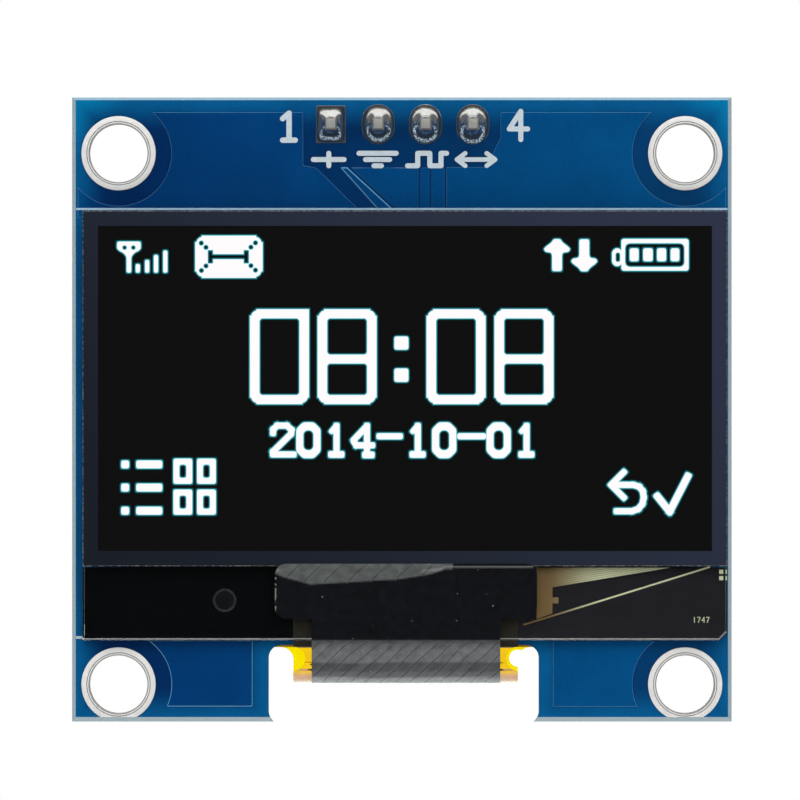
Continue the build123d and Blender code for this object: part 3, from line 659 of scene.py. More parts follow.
# Screened ink: matt off-white, a little rough from the weave of the screen.
INK = Finish("screened_white_ink", "#C4D2DA", roughness=0.6, mottle=0.05, mottle_mm=0.2, bump_um=6,
             bump_mm=0.08)
# The same ink in a thin line: the mask's blue shows through it.
THIN_INK = replace(INK, name="thinly_screened_ink", colour="#A4C6DC", mottle=0.08, mottle_mm=0.3)
# Tin levelled by hot air: satin white metal with a faint ripple, and painted shade where it rolls over an
# edge.
TIN = TinnedLand("levelled_tin", "#F1F1EF", roughness=0.42, metallic=0.2, mottle=0.05, mottle_mm=0.4,
                 bump_um=4,
                 bump_mm=0.3)
# Solder that froze from the melt: bright, wet-looking metal.
SOLDER = Finish("bright_solder", "#D2D2CE", roughness=0.13, metallic=0.9, mottle=0.05, mottle_mm=0.3,
                bump_um=8,
                bump_mm=0.25)
# Hand-soldered cones: bright metal with a painted reflection of the mask and a pale grainy painted highlight,
# dull, low on each cone.
JOINT_SOLDER = SolderWithPaintedLight("solder_with_painted_light", "#E4E4E0", roughness=0.12, metallic=0.92, mottle=0.05,
                            mottle_mm=0.3,
                            bump_um=8, bump_mm=0.25)
# Drawn and plated square wire: soft grey metal, with painted shade on its sides and tapered tips, which tilt
# away from the board's plane.
PIN_TIN = TinnedLand("tinned_brass_pin", "#AEB0AD", roughness=0.4, metallic=0.4, mottle=0.06, mottle_mm=0.2,
                     painted_edge_colour="#8F8C84")
# Moulded nylon: near-black plastic with a fine matt grain.
HEADER_NYLON = Finish("moulded_black_nylon", "#17171A", roughness=0.48, mottle_mm=0.8, bump_um=4,
                      bump_mm=0.12)
# Ground and polished glass: clear, with bright edges.
GLASS = ClearGlass("polished_sheet_glass", "#F2F8F6", roughness=0.0, ior=1.5, mottle=0.0)
# Stretched film under a hard coat: a black mirror.
FILM = PolariserFilm("stretched_polariser_film", "#101010", roughness=0.03, ior=1.49, mottle=0.02)
# Vapour-laid layers on glass: black and smooth while unlit.
LIGHT_LAYER = Finish("unlit_light_layer", "#08080A", roughness=0.1)
# Glue cured between the glasses: a dark satin frame.
SEAL = Finish("cured_seal_glue", "#20232C", roughness=0.45)
# Pressed desiccant paper: chalky white and quite matt.
DRYING_SHEET = Finish("white_drying_sheet", "#D9D8D0", roughness=0.85, bump_um=10, bump_mm=0.1)
# Ground back of a silicon chip: a dark grey mirror.
SILICON = Finish("polished_bare_silicon", "#3C3D42", roughness=0.12, metallic=0.6)
# Foam tape seen through its glue: deep matt black.
FOAM_BLACK = Finish("black_foam_tape", "#060709", roughness=0.9, ior=1.1, bump_um=20, bump_mm=0.1)
# The same foam, a shade greyer, as it shows right of the cable.
FOAM_GREY = replace(FOAM_BLACK, name="grey_foam_tape", colour="#232226")
# Foam pressed flat in one round spot: its skin shines a little.
SPOT = Finish("pressed_foam_spot", "#121216", roughness=0.6, ior=1.1, mottle=0.2, mottle_mm=0.3)
# The heaped rim round that spot: paler, a painted highlight, because it stands up into the light.
SPOT_RIM = replace(SPOT, name="pressed_foam_rim", colour="#303034", mottle=0.25, mottle_mm=0.2)
# Sputtered and etched metal behind glass: dull gold.
LEADS = LeadFilm("etched_metal_leads", "#7C6038", roughness=0.35, metallic=0.3)
# Cast polyimide: clear amber plastic with a smooth skin.
FLEX = FlexFilm("cast_polyimide_film", "#FFE2A4", roughness=0.18, ior=1.12, mottle=0.06, mottle_mm=0.7)
# Polyester tape: thin, black and glossy, so that every crease catches light.
TAPE = CreasedTape("black_polyester_tape", "#121317", roughness=0.15, ior=1.85, mottle=0.22, mottle_mm=0.4)
# Fired ceramic: smooth tan with almost no grain.
CAPACITOR = Finish("fired_capacitor_ceramic", "#9A7C57", roughness=0.4, mottle=0.04, mottle_mm=0.3)
# Glass glaze over the resistive layer: smooth black.
RESISTOR = Finish("glazed_resistor_top", "#0C0C0E", roughness=0.3, mottle_mm=0.3)
# Barrel-plated tin: matt silver.
END_TIN = Finish("matte_tin_cap", "#CFCFCC", roughness=0.38, metallic=1.0, mottle_mm=0.2, bump_um=5,
                 bump_mm=0.08)
# Transfer-moulded epoxy: black, with the fine grain of an eroded mould.
CASE = Finish("moulded_black_epoxy", "#1A1A1C", roughness=0.5, mottle_mm=0.4, bump_um=5, bump_mm=0.06)
# The same epoxy with a band of matt paint.
DIODE_CASE = BandedCase("banded_black_epoxy", "#1A1A1C", roughness=0.5, mottle_mm=0.4)
# Lit dots: white in the middle, pale blue at the rim, and a dim teal glow round them in the film.
LIT_CORE = LitDots("lit_dots_white", "#FFFBFC", roughness=0.3)
LIT_EDGE = replace(LIT_CORE, name="lit_dots_pale_blue", colour="#9AE6EC")
LIT_HALO = replace(LIT_CORE, name="lit_dots_glow", colour="#046C78")

NODE_FINISHES: dict[str, Finish] = {
    "circuit_board": MASK,
    "light_layer": LIGHT_LAYER,
    "edge_seal": SEAL,
    "cap_glass": GLASS,
    "front_glass": GLASS,
    "drying_sheet": DRYING_SHEET,
    "driver_chip": SILICON,
    "cap_foam_upper": FOAM_BLACK,
    "cap_foam_lower": FOAM_BLACK,
    "back_pads": TIN,
}


def pick(*objects: Object) -> None:
    """Select only these objects and make the first one active."""
    if bpy.context.object and bpy.context.object.mode != "OBJECT":
        bpy.ops.object.mode_set(mode="OBJECT")
    bpy.ops.object.select_all(action="DESELECT")
    for piece in objects:
        piece.select_set(True)
    if objects:
        bpy.context.view_layer.objects.active = objects[0]


def apply_place(piece: Object) -> None:
    """Move an object's place, turn and scale into its mesh."""
    pick(piece)
    bpy.ops.object.transform_apply(location=True, rotation=True, scale=True)


def apply_modifier(piece: Object, kind: str, **settings: Any) -> None:
    """Add a modifier to a piece and apply it.

    Args:
        piece: The piece to change.
        kind: Blender's type name of the modifier.
        settings: Attributes to set on it.
    """
    pick(piece)
    modifier = piece.modifiers.new(kind, kind)
    for key, value in settings.items():
        setattr(modifier, key, value)
    bpy.ops.object.modifier_apply(modifier=modifier.name)


def tidy_mesh(piece: Object, merge: float = 0.0005, flat_degrees: float = 0.0) -> None:
    """Merge doubles, turn all faces outwards, and melt flat triangles together.

    Args:
        piece: The piece to tidy, in millimetres.
        merge: Distance within which points merge.
        flat_degrees: Faces that meet at less than this are melted together; 0 leaves them.
    """
    pick(piece)
    bpy.ops.object.mode_set(mode="EDIT")
    bpy.ops.mesh.select_all(action="SELECT")
    bpy.ops.mesh.remove_doubles(threshold=merge)
    bpy.ops.mesh.normals_make_consistent(inside=False)
    if flat_degrees:
        bpy.ops.mesh.dissolve_limited(angle_limit=math.radians(flat_degrees))
    bpy.ops.object.mode_set(mode="OBJECT")


def box_piece(name: str, low: Vector, high: Vector, edge: float = 0.0, segments: int = 2) -> Object:
    """Make a block between two corners, with rounded edges.

    Args:
        name: Name of the piece.
        low: Low corner.
        high: High corner.
        edge: Radius of the edges.
        segments: Facets across each edge.

    Returns:
        The block, in millimetres.
    """
    pick()
    bpy.ops.mesh.primitive_cube_add(size=1, location=(low + high) / 2)
    piece = bpy.context.object
    piece.name = name
    piece.scale = high - low
    apply_place(piece)
    if edge:
        apply_modifier(piece, "BEVEL", width=edge, segments=segments, limit_method="NONE")
    return piece


def flat_plate(name: str, loops: Sequence[Loop], front: float, depth: float, edge: float = 0.0) -> Object:
    """Make one flat plate from closed outlines of the front view, holes included.

    Args:
        name: Name of the plate.
        loops: Closed outlines as X and Z; a loop inside another is a hole.
        front: Y of the plate's front face.
        depth: Thickness of the plate.
        edge: Width of its broken rims.

    Returns:
        The plate, in millimetres.
    """
    curve = bpy.data.curves.new(name, "CURVE")
    curve.dimensions = "2D"
    curve.fill_mode = "BOTH"
    curve.extrude = depth / 2
    for loop in loops:
        spline = curve.splines.new("POLY")
        spline.points.add(len(loop) - 1)
        for point, (x, z) in zip(spline.points, loop):
            point.co = (x, z, 0.0, 1.0)
        spline.use_cyclic_u = True
    plate = bpy.data.objects.new(name, curve)
    bpy.context.scene.collection.objects.link(plate)
    pick(plate)
    bpy.ops.object.convert(target="MESH")
    plate = bpy.context.object
    plate.rotation_euler = (QUARTER_TURN, 0, 0)
    plate.location = (0, front + depth / 2, 0)
    apply_place(plate)
    tidy_mesh(plate, flat_degrees=0.5 if edge else 0.0)
    if edge:
        apply_modifier(plate, "BEVEL", width=edge, segments=1, limit_method="ANGLE",
                       angle_limit=math.radians(60))
    return plate


def fuse(pieces: Sequence[Object]) -> Object:
    """Unite overlapping pieces into one clean solid.

    Args:
        pieces: The pieces; all but the first are used up.

    Returns:
        The first piece, with the others in it.
    """
    first, others = pieces[0], list(pieces[1:])
    if not others:
        return first
    pick(*others)
    if len(others) > 1:
        bpy.ops.object.join()
    apply_modifier(first, "BOOLEAN", operation="UNION", object=others[0], solver="EXACT", use_self=True)
    bpy.data.objects.remove(others[0])
    return first


def cut(piece: Object, cutter: Object, operation: str = "DIFFERENCE") -> None:
    """Cut a piece with another, which is used up."""
    apply_modifier(piece, "BOOLEAN", operation=operation, object=cutter, solver="EXACT")
    bpy.data.objects.remove(cutter)


def lathe(name: str, profile: Sequence[Point], steps: int) -> Object:
    """Turn a profile round an axis along Y, ring by ring.

    Args:
        name: Name of the piece.
        profile: Radius and forward height of each ring, in order.
        steps: Facets round the axis.

    Returns:
        The turned piece, with its axis through the origin, in millimetres.
    """
    pick()
    radius, height = profile[0]
    bpy.ops.mesh.primitive_circle_add(vertices=steps, radius=radius, location=(0, 0, height),
                                      enter_editmode=True)
    for (last_radius, last_height), (radius, height) in zip(profile, profile[1:]):
        bpy.ops.mesh.extrude_region_move(TRANSFORM_OT_translate={"value": (0, 0, height - last_height)})
        ratio = radius / last_radius
        bpy.ops.transform.resize(value=(ratio, ratio, 1), center_override=(0, 0, 0))
    bpy.ops.object.mode_set(mode="OBJECT")
    piece = bpy.context.object
    piece.name = name
    piece.location = (0, -profile[0][1], 0)
    piece.rotation_euler = (QUARTER_TURN, 0, 0)
    apply_place(piece)
    return piece


def node_copy(node: str, name: str, edge: float = 0.0, segments: int = 2) -> Object:
    """Copy a CAD node into a piece with merged points and broken edges.

    Args:
        node: Name of the CAD node.
        name: Name of the new piece.
        edge: Width of the broken edges.
        segments: Facets across each edge.

    Returns:
        The copy, in millimetres.
    """
    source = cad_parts[node]
    piece = bpy.data.objects.new(name, source.data.copy())
    bpy.context.scene.collection.objects.link(piece)
    piece.scale = (1 / MM,) * 3
    apply_place(piece)
    tidy_mesh(piece, flat_degrees=1.0)
    if edge:
        apply_modifier(piece, "BEVEL", width=edge, segments=segments, limit_method="ANGLE",
                       angle_limit=SOFT_ANGLE)
    return piece


def settle(piece: Object, finish: Finish, nodes: Sequence[str] = (),
           smooth: bool = True) -> Object:
    """Bring a finished piece to metres, shade it, dress it and tie it to the frame.

    Args:
        piece: The piece, in millimetres.
        finish: Its finish.
        nodes: CAD nodes that it stands for.
        smooth: Whether its round faces are shaded round.

    Returns:
        The piece.
    """
    piece.scale = (MM,) * 3
    apply_place(piece)
    pick(piece)
    if smooth:
        bpy.ops.object.shade_smooth_by_angle(angle=SOFT_ANGLE)
        apply_modifier(piece, "WEIGHTED_NORMAL", keep_sharp=True, weight=80)
    else:
        bpy.ops.object.shade_flat()
    piece.data.materials.clear()
    piece.data.materials.append(finish.material())
    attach(piece, ROOT_BODY)
    if nodes:
        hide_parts(*nodes)
    log.info("%s: %d faces, %s", piece.name, len(piece.data.polygons), finish.name)
    return piece


def flat_piece(name: str, shapes: Sequence[Sequence[Loop]], front: float, depth: float, finish: Finish,
               edge: float = 0.0, nodes: Sequence[str] = (), smooth: bool = False) -> Object:
    """Lay flat shapes that may overlap as one settled piece.

    Args:
        name: Name of the piece.
        shapes: Outlines of each shape, holes included.
        front: Y of the front face.
        depth: Thickness.
        finish: Its finish.
        edge: Width of its broken rims.
        nodes: CAD nodes that it stands for.
        smooth: Whether its round faces are shaded round.

    Returns:
        The piece.
    """
    piece = fuse([flat_plate(name, loops, front, depth, edge) for loops in shapes])
    piece.name = name
    return settle(piece, finish, nodes, smooth)


def node_piece(node: str, name: str, finish: Finish, edge: float = 0.0, segments: int = 2,
               smooth: bool = True) -> Object:
    """Copy a CAD node as a settled piece that stands for it.

    Args:
        node: Name of the CAD node.
        name: Name of the new piece.
        finish: Its finish.
        edge: Width of the broken edges.
        segments: Facets across each edge.
        smooth: Whether its round faces are shaded round.

    Returns:
        The piece.
    """
    return settle(node_copy(node, name, edge, segments), finish, [node], smooth)


def dress_node(node: str, finish: Finish) -> None:
    """Give a CAD node that stays a finish."""
    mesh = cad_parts[node].data
    mesh.materials.clear()
    mesh.materials.append(finish.material())
    log.info("%s: CAD node, %s", node, finish.name)


def box_mm(node: str) -> tuple[Vector, Vector]:
    """Give the low and high corners of a CAD node, in millimetres."""
    low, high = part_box(node)
    return low / MM, high / MM


def arc(x: float, z: float, radius: float, start: float, sweep: float, steps: int) -> Loop:
    """Give points along an arc of the front view.

    Args:
        x: Centre across.
        z: Centre up.
        radius: Radius of the arc.
        start: First angle, in degrees from +X towards +Z.
        sweep: Angle from the first point to the last, in degrees.
        steps: Number of steps between them.

    Returns:
        The points.
    """
    angles = [math.radians(start + sweep * step / steps) for step in range(steps + 1)]
    return [(x + radius * math.cos(angle), z + radius * math.sin(angle)) for angle in angles]


def disc(x: float, z: float, radius: float, steps: int = 48) -> Loop:
    """Give a closed circle of the front view."""
    return arc(x, z, radius, 0, 360, steps)[:-1]


def rectangle(left: float, bottom: float, right: float, top: float) -> Loop:
    """Give a closed rectangle of the front view."""
    return [(left, bottom), (right, bottom), (right, top), (left, top)]


def rounded(left: float, bottom: float, right: float, top: float, radius: float, steps: int = 5) -> Loop:
    """Give a closed rectangle with round corners; one step gives cut corners."""
    corners = ((right, bottom, -1, 1, -90), (right, top, -1, -1, 0), (left, top, 1, -1, 90),
               (left, bottom, 1, 1, 180))
    loop: Loop = []
    for x, z, inward_x, inward_z, start in corners:
        loop += arc(x + inward_x * radius, z + inward_z * radius, radius, start, 90, steps)
    return loop


def capsule(start: Point, end: Point, width: float) -> Loop:
    """Give the outline of a pen stroke with round ends."""
    turn = math.degrees(math.atan2(end[1] - start[1], end[0] - start[0]))
    return arc(*end, width / 2, turn - 90, 180, 6) + arc(*start, width / 2, turn + 90, 180, 6)


def grown(loop: Loop, distance: float) -> Loop:
    """Move each side of a closed outline outwards, and meet the sides again at their corners.

    Args:
        loop: Outline whose inside lies to the left; a hole runs the other way round.
        distance: How far the sides move.

    Returns:
        The grown outline.
    """
    result: Loop = []
    for index, here in enumerate(loop):
        before = Vector(here) - Vector(loop[index - 1])
        after = Vector(loop[(index + 1) % len(loop)]) - Vector(here)
        first = Vector((before.y, -before.x)).normalized()
        second = Vector((after.y, -after.x)).normalized()
        mitre = (first + second) / (1 + first.dot(second))
        result.append(tuple(Vector(here) + mitre * distance))
    return result


def hole(loop: Loop) -> Loop:
    """Turn an outline round, so that it grows as a hole does."""
    return loop[::-1]


def softened(loop: Loop, radius: float, steps: int = 3) -> Loop:
    """Round the sharp corners of a closed outline.

    Args:
        loop: The outline.
        radius: How far along each side a corner's curve reaches, at most.
        steps: Facets of each corner.

    Returns:
        The rounded outline.
    """
    result: Loop = []
    for index, here in enumerate(loop):
        corner = Vector(here)
        back, ahead = Vector(loop[index - 1]) - corner, Vector(loop[(index + 1) % len(loop)]) - corner
        if back.length < 1e-6 or ahead.length < 1e-6 or back.angle(-ahead) < math.radians(20):
            result.append(here)
            continue
        reach = min(radius, 0.46 * back.length, 0.46 * ahead.length)
        start, end = corner + back.normalized() * reach, corner + ahead.normalized() * reach
        for step in range(steps + 1):
            share = step / steps
            point = start * (1 - share) ** 2 + corner * (2 * share * (1 - share)) + end * share ** 2
            result.append((point.x, point.y))
    return result


def between(table: Sequence[Point], place: float) -> float:
    """Read a table of places and values, straight between its entries."""
    for (x0, y0), (x1, y1) in zip(table, table[1:]):
        if place <= x1:
            share = min(max((place - x0) / (x1 - x0), 0.0), 1.0)
            return y0 + (y1 - y0) * share
    return table[-1][1]


class Ring(Enum):
    """Which corner of a digit's ring stays square."""

    NONE = 0
    TOP_RIGHT = 1


@dataclass
class Screen:
    """What the display shows, drawn in dots: columns from the left, rows from the top."""

    dot: float = 0.243
    left: float = -15.39
    top: float = 9.81
    layer_depth: float = 0.004
    corner: float = 0.55
    sharp_corner: float = 0.14
    corner_steps: tuple[Point, ...] = ((0.0, 1.45), (0.36, 1.4), (0.44, 0.98), (0.98, 0.44), (1.4, 0.36),
                                       (1.45, 0.0))
    bloom: dict[str, float] = field(default_factory=lambda: {"glow": 0.28, "edge": 0.04, "core": -0.07})
    big_stroke: float = 2.05
    date_stroke: float = 1.4

    def bar(self, left: float, top: float, right: float, bottom: float) -> list[Loop]:
        """Give a plain bar."""
        return [rectangle(left, -bottom, right, -top)]

    def dark_dot(self, column: float, row: float, radius: float = 0.56) -> Loop:
        """Give a dark round gap in a lit field."""
        return hole(disc(column, -row, radius, 16))

    def line(self, *points: Point, width: float) -> Shapes:
        """Give a broken line of bars.

        Args:
            points: Column and row of each corner.
            width: Width of the line.

        Returns:
            One shape to each run.
        """
        shapes = []
        for (x0, r0), (x1, r1) in zip(points, points[1:]):
            along = Vector((x1 - x0, r0 - r1)).normalized()
            across = Vector((-along.y, along.x)) * width / 2
            start, end = Vector((x0, -r0)) - along * width / 2, Vector((x1, -r1)) + along * width / 2
            corners = (start - across, end - across, end + across, start + across)
            shapes.append([[tuple(corner) for corner in corners]])
        return shapes

    def stepped(self, left: float, top: float, right: float, bottom: float, square: Ring = Ring.NONE) -> Loop:
        """Give a field whose corners are cut in dot steps.

        Args:
            left: First column.
            top: First row.
            right: Last column.
            bottom: Last row.
            square: Corner that isn't cut.

        Returns:
            The outline.
        """
        steps = self.corner_steps
        corners = [(left, top, 1, 1, steps), (right, top, -1, 1, steps[::-1]), (right, bottom, -1, -1, steps),
                   (left, bottom, 1, -1, steps[::-1])]
        outline: Loop = []
        for number, (column, row, way_column, way_row, cut_steps) in enumerate(corners):
            if number == 1 and square is Ring.TOP_RIGHT:
                outline.append((column, -row))
                continue
            outline += [(column + way_column * dc, -(row + way_row * dr)) for dc, dr in cut_steps]
        return hole(outline)

    def big_digit(self, column: float, middle_bar: bool, square: Ring = Ring.NONE) -> Shapes:
        """Give a tall 0 or 8 of the clock, its corners cut in dot steps.

        Args:
            column: Its left column.
            middle_bar: Whether it is an 8.
            square: Corner that isn't cut.

        Returns:
            One shape with holes.
        """
        high, low, width = 16.2, 37.15, 13.05
        outer = self.stepped(column, high, column + width, low, square)
        stroke = self.big_stroke
        rows = [high + stroke, 26.2, 28.2, low - stroke] if middle_bar else [high + stroke, low - stroke]
        left, right = column + stroke + 0.1, column + width - stroke - 0.1
        windows = [rounded(left, -bottom, right, -top, 0.45, 1) for top, bottom in zip(rows[::2], rows[1::2])]
        return [[outer] + [hole(window) for window in windows]]

    def clock(self) -> Shapes:
        """Give the clock's digits and colon."""
        shapes = self.big_digit(29.85, False, Ring.TOP_RIGHT) + self.big_digit(44.75, True)
        shapes += self.big_digit(68.75, False) + self.big_digit(83.7, True)
        for top, bottom in ((22.2, 25.15), (29.25, 32.25)):
            shapes.append([rounded(61.65, -bottom, 64.8, -top, 0.45, 2)])
        return shapes

    def date_zero(self, column: float) -> Shapes:
        """Give a small 0 of the date."""
        outer = rounded(column, -49.05, column + 5.4, -41.1, 1.5, 1)
        inner = rounded(column + 1.6, -47.25, column + 3.8, -42.9, 0.6, 1)
        return [[outer, hole(inner)]]

    def date_one(self, column: float) -> Shapes:
        """Give a small 1 of the date."""
        width = self.date_stroke
        shapes = self.line((column + 2.1, 41.9), (column + 2.1, 48.2), width=width)
        shapes += self.line((column + 1.0, 43.1), (column + 1.9, 42.0), width=width * 0.85)
        return shapes + self.line((column + 1.0, 48.2), (column + 3.1, 48.2), width=width * 1.1)

    def date(self) -> Shapes:
        """Give the line of small digits under the clock."""
        width = self.date_stroke
        shapes = self.line((34.95, 43.5), (35.0, 42.7), (35.9, 41.85), (38.0, 41.85), (39.05, 42.8),
                           (38.9, 43.7), (34.95, 47.6), (34.95, 48.2), (39.5, 48.2), width=width)
        shapes += self.line((55.65, 41.9), (55.65, 48.2), width=width)
        shapes += self.line((55.3, 42.3), (52.75, 45.0), width=width)
        shapes += self.line((52.8, 45.4), (53.3, 46.2), (56.8, 46.2), width=width)
        shapes += self.line((55.3, 48.3), (56.6, 48.3), width=width * 1.1)
        for column in (40.05, 69.95, 81.95):
            shapes += self.date_zero(column)
        for column in (46.85, 64.75, 88.7):
            shapes += self.date_one(column)
        for left, right in ((58.4, 62.9), (76.2, 81.2)):
            shapes += self.line((left, 44.2), (right, 44.2), width=width)
        return shapes

    def signal(self) -> Shapes:
        """Give the aerial and its four bars."""
        right = [(3.75, 8.2), (3.75, 4.6), (4.5, 3.8), (5.35, 3.35), (5.85, 2.9), (5.85, 1.3)]
        left = [(6.45 - column, row) for column, row in reversed(right)]
        aerial = [(column, -row) for column, row in right + left]
        shapes = [[aerial, self.dark_dot(2.27, 2.65, 0.5), self.dark_dot(4.2, 2.65, 0.5)]]
        for left, top in ((4.7, 6.25), (6.75, 5.35), (8.7, 4.25), (10.75, 3.25)):
            shapes.append(self.bar(left, top, left + 0.98, 8.2))
        return shapes

    def envelope(self) -> Shapes:
        """Give the filled letter with its dark folds."""
        body = self.stepped(17.8, 0.0, 32.7, 9.35)
        corners = [(20.6, 3.2), (21.75, 3.2), (21.75, 4.1), (28.5, 4.1), (28.5, 3.2), (29.65, 3.2),
                   (29.65, 6.15), (28.5, 6.15), (28.5, 5.2), (21.75, 5.2), (21.75, 6.15), (20.6, 6.15)]
        gaps = [[(column, -row) for column, row in corners]]
        for column, row in ((19.16, 1.66), (20.2, 2.6), (30.1, 2.56), (31.1, 1.61), (20.2, 6.69), (19.2, 7.7),
                            (30.1, 6.64), (31.1, 7.62)):
            gaps.append(self.dark_dot(column, row))
        return [[body] + gaps]

    def arrows(self) -> Shapes:
        """Give the up and down arrows."""
        right = [(0.75, 0.75), (1.2, 1.5), (2.35, 2.35), (2.95, 2.95), (2.55, 3.6), (1.35, 3.75), (1.1, 4.3),
                 (1.1, 7.85)]
        outline = right + [(-column, row) for column, row in reversed(right)]
        raised = [(97.5 + column, -row) for column, row in outline]
        lowered = [(103.5 + column, row - 8.65) for column, row in outline]
        return [[hole(raised)], [lowered]]

    def battery(self) -> Shapes:
        """Give the battery with four blocks of charge."""
        body = rounded(111.65, -7.75, 126.5, -0.72, 0.35, 1)
        shapes = [[body, hole(rounded(112.5, -6.9, 125.55, -1.7, 0.9, 2))]]
        for left, right in ((113.5, 115.5), (116.45, 118.6), (119.5, 121.55), (122.5, 124.45)):
            shapes.append(self.bar(left, 2.78, right, 5.68))
        nub = rounded(109.6, -6.75, 111.9, -2.8, 0.7, 1)
        return shapes + [[nub, hole(rectangle(110.4, -5.8, 111.4, -3.75))]]

    def menu_signs(self) -> Shapes:
        """Give a list sign and a sign of four fields, bottom left."""
        shapes = []
        for row in (49.5, 54.6, 59.7):
            shapes += [self.bar(1.5, row, 3.3, row + 1.8), self.bar(4.8, row, 10.6, row + 1.8)]
        for left in (13.0, 18.2):
            for row in (49.1, 55.9):
                outer = rectangle(left, -row - 5.6, left + 4.2, -row)
                shapes.append([outer, hole(rectangle(left + 1.35, -row - 4.25, left + 2.85, -row - 1.35))])
        return shapes

    def answer_signs(self) -> Shapes:
        """Give a back arrow and a tick, bottom right."""
        curve = [(109.7, 54.9), (114.3, 54.9), (115.6, 55.3), (116.4, 56.3), (116.6, 57.7), (116.3, 59.1),
                 (115.4, 60.2), (114.0, 60.7), (110.6, 60.7)]
        shapes = self.line(*curve, width=1.4)
        shapes += self.line((112.2, 52.1), (109.4, 54.9), (112.2, 57.7), width=1.4)
        return shapes + self.line((119.6, 57.4), (122.3, 60.8), (126.3, 53.0), width=1.6)

    def in_place(self, loop: Loop) -> Loop:
        """Turn dots into millimetres on the panel."""
        return [(self.left + column * self.dot, self.top + row * self.dot) for column, row in loop]

    def build(self) -> None:
        """Lay each sign on the film as three thin sheets: glow, pale edge and white core."""
        face = box_mm("polariser_film")[0].y
        signs = {
            "clock": self.clock(), "date": self.date(), "signal": self.signal(), "envelope": self.envelope(),
            "arrows": self.arrows(), "battery": self.battery(), "menu_signs": self.menu_signs(),
            "answer_signs": self.answer_signs(),
        }
        finishes = {"glow": LIT_HALO, "edge": LIT_EDGE, "core": LIT_CORE}
        for name, shapes in signs.items():
            for level, (layer, bloom) in enumerate(self.bloom.items(), start=1):
                corner = self.sharp_corner if name in ("clock", "envelope") else self.corner
                drawn = [[self.in_place(softened(grown(loop, bloom), corner)) for loop in shape]
                         for shape in shapes]
                flat_piece(f"lit_{name}_{layer}", drawn, face - level * self.layer_depth, self.layer_depth,
                           finishes[layer])


